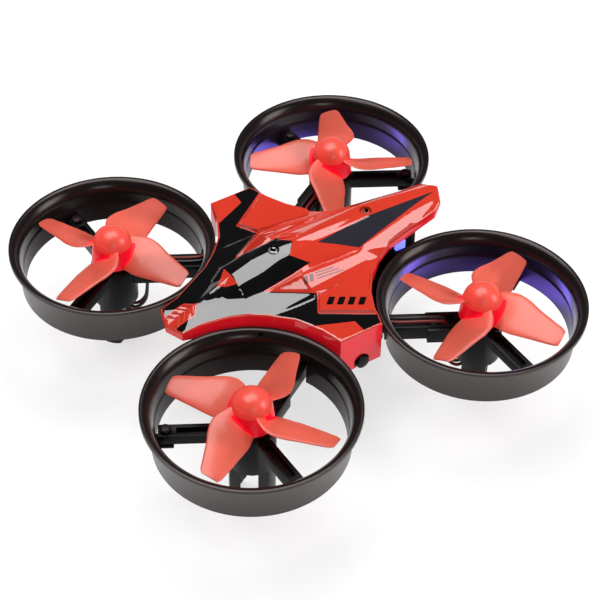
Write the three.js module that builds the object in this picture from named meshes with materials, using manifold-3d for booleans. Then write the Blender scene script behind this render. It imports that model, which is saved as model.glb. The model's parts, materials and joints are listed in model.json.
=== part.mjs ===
// A palm-sized drone: four rotor ducts round a rhombic body, millimetres, +Z up, nose towards -X.
// The "deck" group has its z = 0 on the plane of the duct bottoms; the motor legs reach the ground.
import * as THREE from 'three';
import { mergeVertices } from 'three/addons/utils/BufferGeometryUtils.js';
import Module from 'manifold-3d';

const wasm = await Module();
wasm.setup();

// ---------- driving dimensions ----------
const DECK_HEIGHT = 13.0;        // duct bottoms above the ground, which is the length of the legs
const ROTOR_OFFSET = 23.0;       // rotor axes at (+-23, +-23): 65 mm from motor to motor across the diagonal
const LIP_RADIUS = 18.0;         // outer edge of the duct lip
const DUCT_HEIGHT = 8.0;
const DUCT_SIDES = 36;
const GAP = 0.3;                 // clearance between pieces that touch

const MOTOR_RADIUS = 3.0;        // 6 x 10 mm coreless motor
const MOTOR_BOTTOM = -3.4;
const MOTOR_TOP = 7.0;
const SLEEVE_OUTER = 4.0;
const SLEEVE_INNER = MOTOR_RADIUS + GAP;
const SLEEVE_TOP = 3.6;
const SLEEVE_BOTTOM = -4.45;
const SHAFT_RADIUS = 0.4;
const LEG_INNER = 2.6;
const LEG_HALF = 2.1;            // half the width of a leg, along the line from the body to the rotor axis

const SPOKE_WIDTH = 2.6;
const SPOKE_BOTTOM = 0.8;
const SPOKE_TOP = 2.7;
const ARM_BOTTOM = 0.6;          // wide arm, which carries the wires over the tray's edge
const ARM_TOP = 3.3;
const SPOKE_END = 15.1;          // the plain spokes stop short of the duct wall
const WIDE_ARM_HALF = 1.7;       // half the width of the arm that passes through the duct wall
const ARM_BLOCK_HALF = 2.3;      // half the width of its thick end by the motor
const ARM_STEP = 16.5;           // the wide arm steps up here on to the tray floor
const ARM_REACH = 20.6;
const PIN_RADIUS = 0.45;         // moulded pins of the duct, riveted over the spoke ends
const PIN_HEAD = 0.95;
const PIN_BOSS = 1.25;           // end of a spoke, round its pin
const PIN_TOP = 3.5;
const PIN_PLACE = 13.9;          // from the rotor axis
const SHELF_HALF = 1.5;          // ledge inside the duct that carries a pin
const SHELF_INNER = PIN_PLACE - 1.3;
const DUCT_INNER = 15.9;
const WIRE_DOOR = 4.6;           // top of the doorway in the duct wall, over the arm and its wires

const HUB_RADIUS = 3.8;
const HUB_BOTTOM = 4.4;
const HUB_TOP = 11.0;
const BLADES = 4;
const BLADE_THICK = 0.6;

const SHELL = 1.0;               // wall of the canopy
const TRAY_FLOOR = 1.0;
const TRAY_TOP = 5.0;
const TRAY_WALL = 0.9;
const ARM_REST = TRAY_FLOOR + TRAY_WALL + GAP;
const TRAY_ARC = 16.9;           // the tray is hollowed round each duct wall at this radius
const BOARD_BOTTOM = 8.1;
const BOARD_THICK = 0.8;
const POSTS = [-4.4, 14.5];      // x of the two canopy screws, on the centre line
const POST_RADIUS = 1.5;

// Directions in degrees round each rotor axis: two plain spokes, the wide arm to the body,
// the way the rotor turns and the direction of its first blade.
const ROTORS = [
  { name: 'front_left', x: -1, y: -1, spokes: [150, 270], arm: 30, spin: -1, phase: 32.1 },
  { name: 'rear_left', x: 1, y: -1, spokes: [30, 270], arm: 150, spin: 1, phase: 26.7 },
  { name: 'front_right', x: -1, y: 1, spokes: [90, 210], arm: 330, spin: 1, phase: 26.7 },
  { name: 'rear_right', x: 1, y: 1, spokes: [90, 330], arm: 210, spin: -1, phase: 57.9 },
];

// ---------- materials ----------
const finish = (color, roughness, metalness) =>
  new THREE.MeshStandardMaterial({ color, roughness, metalness });
const plastic = (colour, roughness) => finish(colour, roughness, 0);
const metal = (colour, roughness) => finish(colour, roughness, 1);
const BLACK = 0x1c1a1a;
const CHARCOAL = 0x45403e;
const RED = 0xe8402c;
const CORAL = 0xee6e5a;
const STEEL_GREY = 0xc8cacd;
const LEAD_RED = 0xb02020;
const LEAD_BLACK = 0x202024;
const CHIP_BLACK = 0x141416;
const CONNECTOR_WHITE = 0xe6e4da;

// ---------- solids ----------
const radians = (degrees) => degrees * Math.PI / 180;
const polar = (radius, degrees) => [radius * Math.cos(radians(degrees)), radius * Math.sin(radians(degrees))];

/** A geometry with shared vertices, no collapsed triangles and its faces pointing out. */
function closed(geometry) {
  const bare = geometry.index ? geometry.toNonIndexed() : geometry.clone();
  bare.deleteAttribute('normal');
  bare.deleteAttribute('uv');
  const merged = mergeVertices(bare, 1e-4);
  const old = merged.index.array;
  const kept = [];
  let volume = 0;
  const [a, b, c] = [new THREE.Vector3(), new THREE.Vector3(), new THREE.Vector3()];
  for (let i = 0; i < old.length; i += 3) {
    const [p, q, r] = [old[i], old[i + 1], old[i + 2]];
    if (p === q || q === r || r === p) continue;
    kept.push(p, q, r);
    a.fromBufferAttribute(merged.attributes.position, p);
    b.fromBufferAttribute(merged.attributes.position, q);
    c.fromBufferAttribute(merged.attributes.position, r);
    volume += a.dot(b.cross(c));
  }
  if (volume < 0) kept.reverse();
  merged.setIndex(kept);
  return merged;
}

const solid = (geometry) => {
  const mesh = closed(geometry);
  return new wasm.Manifold(new wasm.Mesh({
    numProp: 3,
    vertProperties: new Float32Array(mesh.attributes.position.array),
    triVerts: new Uint32Array(mesh.index.array),
  }));
};

/** The geometry of a solid after joins and cuts. */
function shape(body) {
  const mesh = body.getMesh();
  const geometry = new THREE.BufferGeometry();
  geometry.setAttribute('position', new THREE.BufferAttribute(new Float32Array(mesh.vertProperties), 3));
  geometry.setIndex([...mesh.triVerts]);
  return geometry;
}

const cut = (body, ...tools) => tools.reduce((rest, tool) => rest.subtract(tool), body);

/** A box from its lowest to its highest corner. */
function block([x0, y0, z0], [x1, y1, z1]) {
  const box = new THREE.BoxGeometry(x1 - x0, y1 - y0, z1 - z0);
  return box.translate((x0 + x1) / 2, (y0 + y1) / 2, (z0 + z1) / 2);
}

/** An upright cylinder. */
function rod(radius, z0, z1, [x, y] = [0, 0], sides = 12) {
  const cylinder = new THREE.CylinderGeometry(radius, radius, z1 - z0, sides);
  return cylinder.rotateX(Math.PI / 2).translate(x, y, (z0 + z1) / 2);
}

/** A profile of [radius, z] turned about the Z axis. */
function turned(profile, sides) {
  const points = profile.map(([r, z]) => new THREE.Vector2(r, z));
  return new THREE.LatheGeometry(points, sides).rotateX(Math.PI / 2);
}

/** A plan outline of [x, y] raised from z0 to z1. */
function prism(outline, z0, z1) {
  const plan = new THREE.Shape(outline.map(([x, y]) => new THREE.Vector2(x, y)));
  return new THREE.ExtrudeGeometry(plan, { depth: z1 - z0, bevelEnabled: false }).translate(0, 0, z0);
}

/** A round or flat-sided tube along hand-placed points. */
function wire(points, radius, steps, sides = 8) {
  const circle = new THREE.Shape();
  for (let i = 0; i < sides; i++) {
    const [x, y] = polar(radius, 360 * i / sides);
    if (i === 0) circle.moveTo(x, y);
    else circle.lineTo(x, y);
  }
  circle.closePath();
  const path = new THREE.CatmullRomCurve3(points.map((p) => new THREE.Vector3(...p)));
  const options = { steps, extrudePath: path, bevelEnabled: false, curveSegments: 1 };
  return new THREE.ExtrudeGeometry(circle, options);
}

const drone = new THREE.Group();
const deck = new THREE.Group();
deck.position.z = DECK_HEIGHT;
drone.add(deck);

function add(name, geometry, material, parent = deck) {
  const mesh = new THREE.Mesh(closed(geometry), material);
  mesh.name = name;
  parent.add(mesh);
  return mesh;
}

// ---------- canopy ----------
// Half of the top surface, y >= 0: [x, y, z] of each corner.
const TOP = {
  noseTip: [-25.5, 0, 7.6], noseCorner: [-24.4, 3.6, 8.4], noseEdge: [-21.0, 4.0, 9.1],
  frontA: [-17.0, 5.5, 9.9], frontB: [-13.8, 7.0, 10.1], frontC: [-10.8, 9.3, 10.2],
  armA: [-7.8, 12.3, 10.3], armB: [-5.4, 16.9, 10.3],
  endFront: [-4.35, 20.65, 10.3], endRear: [3.9, 20.65, 10.3],
  rearA: [4.6, 18.6, 10.3], rearB: [5.2, 16.6, 10.2], rearC: [7.0, 13.0, 10.1], rearD: [9.7, 9.45, 10.1],
  tailA: [12.6, 7.3, 10.4], tailB: [15.8, 5.7, 10.8], tailC: [21.45, 4.52, 11.25], tailD: [26.9, 3.8, 12.1],
  tailE: [28.6, 2.9, 12.6], tailTip: [30.0, 0, 13.5],
  noseRidge: [-20.5, 0, 9.6], cabinTip: [-17.0, 0, 11.3],
  cabinA: [-12.5, 0, 13.4], cabinB: [-8.5, 0, 14.7], cabinC: [-4.4, 0, 15.0], cabinD: [-0.5, 0, 15.0],
  browA: [-13.0, 2.85, 12.7], browB: [-8.3, 3.1, 13.6], browC: [-4.2, 2.5, 14.4], browD: [-2.6, 2.4, 14.6],
  sillA: [-15.5, 2.2, 10.9], sillB: [-12.5, 4.05, 11.2], sillC: [-9.3, 4.6, 11.15],
  sillD: [-3.8, 4.3, 11.8], sillE: [0.37, 4.25, 12.9],
  spineA: [2.67, 1.24, 14.6], spineB: [14.5, 1.6, 15.0], spineC: [29.2, 0.6, 13.7], spineMid: [14.5, 0, 15.0],
  hipA: [-9.0, 4.9, 11.3], hipB: [-3.0, 6.15, 13.5], hipC: [9.9, 5.6, 12.4], hipD: [28.0, 2.4, 12.95],
  kickA: [-2.2, 8.35, 11.3], kickB: [9.2, 7.3, 10.95],
  footA: [-1.6, 9.2, 10.7], footB: [9.5, 7.75, 10.7],
};
const FACES = [
  'noseTip noseRidge noseEdge noseCorner',
  'noseRidge cabinTip sillA frontA noseEdge',
  'sillA sillB frontB frontA',
  'sillB sillC hipA frontC frontB',
  'hipA footA frontC',
  'hipA hipB kickA',
  'hipB hipC kickB kickA',
  'hipA kickA footA',
  'kickA kickB footB footA',
  'sillC sillD hipB hipA',
  'sillD sillE hipC hipB',
  'sillE spineA spineB hipC',
  'spineB spineC hipD hipC',
  'cabinD spineMid spineB spineA',
  'spineMid tailTip spineC spineB',
  'tailTip tailE hipD spineC',
  'cabinTip cabinA browA sillA',
  'sillA browA sillB',
  'cabinA cabinB browB browA',
  'browA browB sillC sillB',
  'cabinB cabinC browC browB',
  'browB browC sillD sillC',
  'cabinC cabinD browD browC',
  'browC browD sillE sillD',
  'cabinD spineA browD',
  'browD spineA sillE',
  'kickB hipC tailA footB',
  'hipC tailB tailA',
  'hipC tailC tailB',
  'hipC hipD tailC',
  'hipD tailE tailD tailC',
  'footA footB tailA rearD rearC rearB rearA endRear endFront armB armA frontC',
];
// The rim, nose to tail, with the lower edge of the skirt under each corner.
const RIM = {
  noseCorner: 6.9, noseEdge: 6.2, frontA: 5.6, frontB: 5.6, frontC: 5.6, armA: 5.6, armB: 5.6,
  endFront: 2.5, endRear: 2.5, rearA: 3.6, rearB: 5.6, rearC: 6.2, rearD: 7.4,
  tailA: 9.2, tailB: 9.5, tailC: 9.5, tailD: 10.3, tailE: 11.8,
};
const NOSE_SKIRT = 6.5;
const TAIL_SKIRT = 12.6;

/** The canopy as a solid block: facets above, a skirt round the rim and a flat-faceted underside. */
function canopyBlock(drop) {
  const triangles = [];
  const lift = ([x, y, z]) => [x, y, z - drop];
  const flip = ([x, y, z]) => [x, -y, z];
  const push = (a, b, c) => {
    triangles.push(...a, ...b, ...c);
    triangles.push(...flip(a), ...flip(c), ...flip(b));
  };
  for (const face of FACES) {
    const corners = face.split(' ').map((key) => TOP[key]);
    const plan = corners.map(([x, y]) => new THREE.Vector2(x, y));
    for (const [i, j, k] of THREE.ShapeUtils.triangulateShape(plan, [])) {
      push(lift(corners[i]), lift(corners[j]), lift(corners[k]));
    }
  }
  const rim = ['noseTip', ...Object.keys(RIM), 'tailTip'];
  const lower = (key) => {
    const [x, y] = TOP[key];
    const z = key === 'noseTip' ? NOSE_SKIRT : key === 'tailTip' ? TAIL_SKIRT : RIM[key];
    return [x, y, z - drop];
  };
  for (let i = 0; i + 1 < rim.length; i++) {
    const [top0, top1] = [lift(TOP[rim[i]]), lift(TOP[rim[i + 1]])];
    const [low0, low1] = [lower(rim[i]), lower(rim[i + 1])];
    push(top0, top1, low1);
    push(top0, low1, low0);
  }
  const under = rim.map(lower);
  const plan = under.map(([x, y]) => new THREE.Vector2(x, y));
  for (const [i, j, k] of THREE.ShapeUtils.triangulateShape(plan, [])) {
    push(under[k], under[j], under[i]);
  }
  const geometry = new THREE.BufferGeometry();
  geometry.setAttribute('position', new THREE.BufferAttribute(new Float32Array(triangles), 3));
  return geometry;
}

/** A convex or concave outline moved inwards by a distance, corner by corner. */
function inset(outline, distance) {
  const count = outline.length;
  return outline.map(([x, y], i) => {
    const [px, py] = outline[(i + count - 1) % count];
    const [nx, ny] = outline[(i + 1) % count];
    const before = new THREE.Vector2(x - px, y - py).normalize();
    const after = new THREE.Vector2(nx - x, ny - y).normalize();
    const middle = new THREE.Vector2(-before.y - after.y, before.x + after.x).normalize();
    const slant = Math.max(middle.dot(new THREE.Vector2(-after.y, after.x)), 0.3);
    const reach = Math.min(distance / slant, 2 * distance);
    return [x + middle.x * reach, y + middle.y * reach];
  });
}

const halfRim = Object.keys(RIM).map((key) => TOP[key]);
const canopyOutline = [
  [TOP.noseTip[0], 0],
  ...halfRim.map(([x, y]) => [x, -y]),
  [TOP.tailTip[0], 0],
  ...halfRim.map(([x, y]) => [x, y]).reverse(),
];
// Raised plate on each side arm.
const SHOULDER = [
  [-3.6, 12.95], [-1.5, 9.6], [8.2, 8.3], [9.2, 9.7], [6.7, 13.0], [4.9, 16.6], [4.4, 18.1],
];
const SHOULDER_BOTTOM = 9.6;
const SHOULDER_TOP = 10.75;
const LUG_RADIUS = 1.2;          // snap lug of the tray, in a hole at the end of each side arm
const LUG_HEIGHT = 3.6;
const ARM_END = 20.65;
const across = (radius, y0, y1, x, z) => {
  const cylinder = new THREE.CylinderGeometry(radius, radius, y1 - y0, 12);
  return cylinder.translate(x, (y0 + y1) / 2, z);
};

const UNDER = 4;                 // how far the hollow reaches below the skirt
const CANOPY_ABOVE = 20;         // a height above everything on the canopy
const outer = solid(canopyBlock(0));
const within = solid(prism(inset(canopyOutline, SHELL), -2 * UNDER, CANOPY_ABOVE));
const hollow = solid(canopyBlock(SHELL)).intersect(within);
const hollowBelow = solid(canopyBlock(SHELL + UNDER)).intersect(within);
let canopy = cut(outer, hollow, hollowBelow);
for (const side of [1, -1]) {
  const plate = SHOULDER.map(([x, y]) => [x, side * y]);
  canopy = canopy.add(solid(prism(side > 0 ? plate.reverse() : plate, SHOULDER_BOTTOM, SHOULDER_TOP)));
  const [y0, y1] = [side * ARM_END - 2 * SHELL, side * ARM_END + 2 * SHELL];
  canopy = cut(canopy, solid(across(LUG_RADIUS + GAP, y0, y1, 0, LUG_HEIGHT)));
}
const BOSS_RADIUS = 2.3;
const SCREW_HOLE = 0.75;
const HEAD_RADIUS = 0.9;
const HEAD_SEAT = 14.0;
const THROUGH = 5;               // a height below every screw post
for (const x of POSTS) {
  const boss = solid(rod(BOSS_RADIUS, BOARD_BOTTOM + BOARD_THICK + GAP, HEAD_SEAT + 0.6, [x, 0]));
  const seat = solid(rod(HEAD_RADIUS + GAP, HEAD_SEAT, CANOPY_ABOVE, [x, 0]));
  canopy = cut(canopy.add(boss), solid(rod(SCREW_HOLE, THROUGH, CANOPY_ABOVE, [x, 0])), seat);
}
add('canopy', shape(canopy), plastic(RED, 0.25));

// ---------- chassis tray ----------
/** Points of the ring-side arc of the tray in one quadrant, from the X arm to the Y arm. */
function trayArc(sx, sy, from, to, count) {
  const points = [];
  for (let i = 0; i <= count; i++) {
    const [x, y] = polar(TRAY_ARC, from + (to - from) * i / count);
    points.push([sx * (ROTOR_OFFSET + x), sy * (ROTOR_OFFSET + y)]);
  }
  return points;
}

const Y_ARM = { front: -3.0, rear: 2.6, end: 19.3 };
const X_ARM_END = 20.0;
const X_ARM_HALF = 3.0;
const arcFrom = 180 + 83;
const arcTo = 180 + 24;
const ARC_STEPS = 8;
const ARC_END_Y = 16.3;
const quarter = (sx, sy) => trayArc(sx, sy, arcFrom, arcTo, ARC_STEPS);
const trayOutline = [
  ...quarter(-1, -1), [Y_ARM.front, -ARC_END_Y], [Y_ARM.front, -Y_ARM.end],
  [Y_ARM.rear, -Y_ARM.end], [Y_ARM.rear, -ARC_END_Y],
  ...quarter(1, -1).reverse(), [X_ARM_END, -X_ARM_HALF], [X_ARM_END, X_ARM_HALF],
  ...quarter(1, 1), [Y_ARM.rear, ARC_END_Y], [Y_ARM.rear, Y_ARM.end],
  [Y_ARM.front, Y_ARM.end], [Y_ARM.front, ARC_END_Y],
  ...quarter(-1, 1).reverse(), [-X_ARM_END, X_ARM_HALF], [-X_ARM_END, -X_ARM_HALF],
];
let tray = solid(prism(trayOutline, TRAY_FLOOR, TRAY_TOP));
tray = cut(tray, solid(prism(inset(trayOutline, TRAY_WALL), TRAY_FLOOR + TRAY_WALL, TRAY_TOP + 1)));
for (const side of [1, -1]) {
  const ends = [side * (Y_ARM.end - 0.2), side * (ARM_END + 0.5)].sort((a, b) => a - b);
  tray = tray.add(solid(across(LUG_RADIUS, ends[0], ends[1], 0, LUG_HEIGHT)));
}
for (const x of POSTS) {
  tray = tray.add(solid(rod(POST_RADIUS, TRAY_FLOOR + 0.5, BOARD_BOTTOM - GAP, [x, 0])));
  tray = cut(tray, solid(rod(SCREW_HOLE, TRAY_FLOOR + 2, CANOPY_ABOVE, [x, 0])));
}
// The tail box stands on the rear arm, behind the board. It holds the switch, the charging
// socket and the lamps.
const TAIL_BOX = { x0: 16.4, x1: 22.6, half: 4.0, top: 9.2, wall: 0.8 };
const SWITCH = {
  x: 19.5, halfX: 2.0, top: 5.1, slotX: 0.9, slotY: 1.9, knob: 0.6, knobTop: 3.4, travel: 1.8,
};
const LAMP = { x: 19.5, halfX: 1.0, z0: 6.6, z1: 8.4 };
const SOCKET = { x0: 17.6, half: 2.1, z0: 5.7, z1: 8.5, wall: 0.5, depth: 3.4 };
const BATTERY = { x0: -2.6, x1: 8.4, half: 8.5, z0: 1.8, z1: 7.6 };
const COVER = { x0: -5.5, x1: 12.2, half: 9.8, thick: 1.0 };
const COVER_SCREW = [10.9, 0];
const ARM_SCREW = 19.4;          // arm screw, from the rotor axis

tray = tray.add(solid(block(
  [TAIL_BOX.x0, -TAIL_BOX.half, TRAY_FLOOR], [TAIL_BOX.x1, TAIL_BOX.half, TAIL_BOX.top],
)));
tray = cut(tray, solid(block(
  [TAIL_BOX.x0 + TAIL_BOX.wall, TAIL_BOX.wall - TAIL_BOX.half, TRAY_FLOOR + TRAY_WALL],
  [TAIL_BOX.x1 - TAIL_BOX.wall, TAIL_BOX.half - TAIL_BOX.wall, TAIL_BOX.top + 1],
)));
tray = tray.add(solid(rod(POST_RADIUS, TRAY_FLOOR, 4.5, COVER_SCREW)));
tray = cut(
  tray,
  solid(rod(SCREW_HOLE, -1, 4.0, COVER_SCREW)),
  solid(block(
    [BATTERY.x0 - GAP, -BATTERY.half - GAP, -1],
    [BATTERY.x1 + GAP, BATTERY.half + GAP, TRAY_FLOOR + TRAY_WALL + 0.5],
  )),
  solid(block(
    [SWITCH.x - SWITCH.slotX, -SWITCH.slotY, -1],
    [SWITCH.x + SWITCH.slotX, SWITCH.slotY, TRAY_FLOOR + TRAY_WALL + 0.5],
  )),
  solid(block(
    [TAIL_BOX.x1 - 2, -SOCKET.half - GAP, SOCKET.z0 - GAP],
    [TAIL_BOX.x1 + 1, SOCKET.half + GAP, SOCKET.z1 + GAP],
  )),
  solid(block(
    [LAMP.x - LAMP.halfX - GAP, -TAIL_BOX.half - 1, LAMP.z0 - GAP],
    [LAMP.x + LAMP.halfX + GAP, TAIL_BOX.half + 1, LAMP.z1 + GAP],
  )),
);
const FRONT_LAMP = { y: 1.5, half: 0.7, z0: 2.6, z1: 4.2 };
for (const side of [1, -1]) {
  const y = side * FRONT_LAMP.y;
  tray = cut(tray, solid(block(
    [-X_ARM_END - 1, y - FRONT_LAMP.half - GAP, FRONT_LAMP.z0 - GAP],
    [-X_ARM_END + TRAY_WALL + 0.5, y + FRONT_LAMP.half + GAP, FRONT_LAMP.z1 + GAP],
  )));
}
for (const { x, y, arm } of ROTORS) {
  const place = [x * ROTOR_OFFSET, y * ROTOR_OFFSET, 0];
  const half = WIDE_ARM_HALF + GAP;
  const notch = block([15, -half, TRAY_FLOOR + TRAY_WALL], [19, half, TRAY_TOP + 1]);
  tray = cut(tray, solid(notch.rotateZ(radians(arm)).translate(...place)));
  const hole = rod(SCREW_HOLE, -1, 3, polar(ARM_SCREW, arm)).translate(...place);
  tray = cut(tray, solid(hole));
}
add('chassis_tray', shape(tray), plastic(BLACK, 0.5));

// ---------- battery cover, under the tray ----------
const COVER_TOP = TRAY_FLOOR - GAP;
const cover = cut(
  solid(block([COVER.x0, -COVER.half, COVER_TOP - COVER.thick], [COVER.x1, COVER.half, COVER_TOP])),
  solid(rod(SCREW_HOLE, -5, 5, COVER_SCREW)),
);
add('battery_cover', shape(cover), plastic(BLACK, 0.5));

// ---------- ducts ----------
// Section of the duct ring: straight wall, undercut lip with a flat rim, flared mouth, step half way down.
const DUCT_SECTION = [
  [16.3, 0], [16.6, 6.5], [17.75, 6.95], [LIP_RADIUS, 7.15], [LIP_RADIUS, DUCT_HEIGHT], [17.2, DUCT_HEIGHT],
  [16.5, 7.4], [DUCT_INNER, 5.8], [15.8, 4.1], [15.6, 3.8], [15.5, 0],
];

/** A block along the X axis, then turned about the rotor axis to point in a direction. */
const ray = (degrees, r0, r1, half, z0, z1) =>
  solid(block([r0, -half, z0], [r1, half, z1]).rotateZ(radians(degrees)));

function duct(rotor) {
  let ring = solid(turned([...DUCT_SECTION, DUCT_SECTION[0]], DUCT_SIDES));
  ring = cut(ring, ray(rotor.arm, 13, 18.5, WIDE_ARM_HALF + GAP, -1, WIRE_DOOR));
  for (const direction of rotor.spokes) {
    const pin = polar(PIN_PLACE, direction);
    ring = ring.add(ray(direction, SHELF_INNER, DUCT_INNER, SHELF_HALF, 0, SPOKE_BOTTOM - GAP));
    ring = ring.add(solid(rod(PIN_RADIUS, 0.2, PIN_TOP - 0.2, pin)));
    ring = ring.add(solid(rod(PIN_HEAD, PIN_TOP - 0.5, PIN_TOP, pin)));
  }
  return ring;
}

function motorMount(rotor) {
  const outward = rotor.x * rotor.y > 0 ? 45 : 135;
  let mount = solid(turned([
    [SLEEVE_INNER, SLEEVE_BOTTOM + 0.7], [LEG_INNER, SLEEVE_BOTTOM + 0.7], [LEG_INNER, -DECK_HEIGHT],
    [3.9, -DECK_HEIGHT], [3.9, SLEEVE_BOTTOM], [SLEEVE_OUTER, SLEEVE_BOTTOM],
    [SLEEVE_OUTER, SLEEVE_TOP - 0.3], [SLEEVE_OUTER - 0.2, SLEEVE_TOP], [SLEEVE_INNER, SLEEVE_TOP],
    [SLEEVE_INNER, SLEEVE_BOTTOM + 0.7],
  ], 24));
  for (const side of [0, 180]) {
    mount = cut(mount, ray(outward + side, LEG_HALF, 6, 6, -20, SLEEVE_BOTTOM));
    const wedge = new THREE.BoxGeometry(2, 12, 4).rotateY(radians(35));
    const toe = wedge.translate(LEG_HALF + 0.55, 0, -DECK_HEIGHT).rotateZ(radians(outward + side));
    mount = cut(mount, solid(toe));
  }
  for (const direction of rotor.spokes) {
    let spoke = ray(direction, 3.6, SPOKE_END, SPOKE_WIDTH / 2, SPOKE_BOTTOM, SPOKE_TOP);
    spoke = cut(spoke, ray(direction, 4.4, PIN_PLACE - 1.7, SPOKE_WIDTH / 2 - 0.7, SPOKE_BOTTOM + 0.8, 9));
    spoke = spoke.add(solid(rod(PIN_BOSS, SPOKE_BOTTOM, SPOKE_TOP, polar(PIN_PLACE, direction))));
    spoke = cut(spoke, solid(rod(PIN_RADIUS + GAP, -1, 9, polar(PIN_PLACE, direction))));
    mount = mount.add(spoke);
  }
  let arm = ray(rotor.arm, 3.6, ARM_STEP, WIDE_ARM_HALF, ARM_BOTTOM, ARM_TOP);
  arm = arm.add(ray(rotor.arm, 3.4, 9.2, ARM_BLOCK_HALF, ARM_BOTTOM - 0.4, ARM_TOP - 0.3));
  arm = arm.add(ray(rotor.arm, ARM_STEP - 1, ARM_REACH, WIDE_ARM_HALF, ARM_REST, ARM_TOP));
  arm = cut(arm, ray(rotor.arm, 4.4, ARM_REACH + 1, WIDE_ARM_HALF - 0.6, ARM_REST + 0.5, 9));
  arm = cut(arm, ray(rotor.arm, 5.0, 6.6, 1.1, -3, 9), ray(rotor.arm, 7.4, 8.4, 1.1, -3, 9));
  arm = cut(arm, solid(rod(SCREW_HOLE, -3, 9, polar(ARM_SCREW, rotor.arm))));
  return cut(mount.add(arm), solid(rod(SLEEVE_INNER, SLEEVE_BOTTOM + 0.7, 9, [0, 0], 24)));
}

function motorCan() {
  return turned([
    [0, MOTOR_BOTTOM], [MOTOR_RADIUS, MOTOR_BOTTOM], [MOTOR_RADIUS, MOTOR_TOP],
    [SHAFT_RADIUS + GAP, MOTOR_TOP], [SHAFT_RADIUS + GAP, 3.5], [0, 3.5],
  ], 20);
}

// Blade plan by radius: angle of the leading and trailing edge from the blade's axis, height of both.
const BLADE_PLAN = [
  { r: 3.4, lead: 53, trail: -33, high: 8.4, low: 4.9 },
  { r: 6.5, lead: 42, trail: -21.5, high: 8.0, low: 4.9 },
  { r: 8.0, lead: 32, trail: -17, high: 7.7, low: 5.1 },
  { r: 10.0, lead: 19.5, trail: -12.5, high: 7.25, low: 5.3 },
  { r: 12.5, lead: 11.5, trail: -9, high: 6.9, low: 5.5 },
  { r: 15.0, lead: 6.4, trail: -6.4, high: 6.63, low: 5.69 },
];
const CHORD_STEPS = 3;

/** One blade: a twisted plate of even thickness, lofted through the stations of its plan. */
function blade(spin) {
  const positions = [];
  const index = [];
  const row = 2 * (CHORD_STEPS + 1);
  for (const { r, lead, trail, high, low } of BLADE_PLAN) {
    for (const face of [1, -1]) {
      for (let i = 0; i <= CHORD_STEPS; i++) {
        const t = face > 0 ? i / CHORD_STEPS : 1 - i / CHORD_STEPS;
        const [x, y] = polar(r, spin * (trail + (lead - trail) * t));
        const camber = 0.5 * Math.sin(Math.PI * t) * (1 - r / 20);
        positions.push(x, y, low + (high - low) * t + camber + face * BLADE_THICK / 2);
      }
    }
  }
  for (let s = 0; s + 1 < BLADE_PLAN.length; s++) {
    for (let i = 0; i < row; i++) {
      const [a, b] = [s * row + i, s * row + (i + 1) % row];
      index.push(a, b, b + row, a, b + row, a + row);
    }
  }
  for (const [start, order] of [[0, 1], [(BLADE_PLAN.length - 1) * row, -1]]) {
    for (let i = 0; i < CHORD_STEPS; i++) {
      const quad = [start + i, start + i + 1, start + row - 2 - i, start + row - 1 - i];
      const [a, b, c, d] = order > 0 ? quad.reverse() : quad;
      index.push(a, b, c, a, c, d);
    }
  }
  const geometry = new THREE.BufferGeometry();
  geometry.setAttribute('position', new THREE.BufferAttribute(new Float32Array(positions), 3));
  geometry.setIndex(index);
  return geometry;
}

function propeller(rotor) {
  const socket = SHAFT_RADIUS + GAP;
  let hub = solid(turned([
    [0, HUB_TOP], [1.6, HUB_TOP - 0.35], [2.8, HUB_TOP - 1.3], [3.45, HUB_TOP - 3.0],
    [HUB_RADIUS, HUB_BOTTOM], [SLEEVE_INNER, HUB_BOTTOM], [SLEEVE_INNER, MOTOR_TOP + 0.4],
    [socket, MOTOR_TOP + 0.4], [socket, HUB_TOP - 1.0], [0, HUB_TOP - 1.0],
  ], 20));
  for (let i = 0; i < BLADES; i++) {
    hub = hub.add(solid(blade(rotor.spin).rotateZ(radians(rotor.phase + 360 * i / BLADES))));
  }
  return cut(hub, solid(rod(SLEEVE_INNER, HUB_BOTTOM - 2, MOTOR_TOP + 0.4, [0, 0], 20)));
}

for (const rotor of ROTORS) {
  const place = new THREE.Group();
  place.position.set(rotor.x * ROTOR_OFFSET, rotor.y * ROTOR_OFFSET, 0);
  deck.add(place);
  add(`duct_${rotor.name}`, shape(duct(rotor)), plastic(CHARCOAL, 0.35), place);
  add(`motor_mount_${rotor.name}`, shape(motorMount(rotor)), plastic(BLACK, 0.45), place);
  add(`motor_${rotor.name}`, motorCan(), metal(0xb9bcc0, 0.3), place);
  add(`shaft_${rotor.name}`, rod(SHAFT_RADIUS, 4.0, HUB_TOP - 1.3, [0, 0], 12), metal(0xd5d7da, 0.2), place);
  add(`propeller_${rotor.name}`, shape(propeller(rotor)), plastic(CORAL, 0.2), place);
}

// ---------- motor wires ----------
const WIRE_RADIUS = 0.3;
/** Route of one wire: out of the motor, under the sleeve, up through the arm, over to the board. */
function wireRoute(rotor, lane) {
  const along = [
    [0.8, -3.9], [1.5, -6.0], [3.4, -7.2], [5.2, -5.4], [5.7, -1.5], [5.7, 1.8], [6.1, 3.2], [7.4, 3.5],
    [10.5, 3.5], [14.5, 3.5], [17.0, 4.3],
  ];
  const points = along.map(([r, z]) => {
    const [x, y] = polar(r, rotor.arm);
    const [sideX, sideY] = polar(lane, rotor.arm + 90);
    return [rotor.x * ROTOR_OFFSET + x + sideX, rotor.y * ROTOR_OFFSET + y + sideY, z];
  });
  const shift = lane * 1.1 * rotor.x * rotor.y;
  for (const [x, y, z] of [[5.6, 13.2, 5.3], [5.6, 10.8, 6.8], [6.4, 8.9, 8.4], [6.9, 6.7, 8.5]]) {
    points.push([rotor.x * (x + shift), rotor.y * y, z]);
  }
  return points;
}
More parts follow.
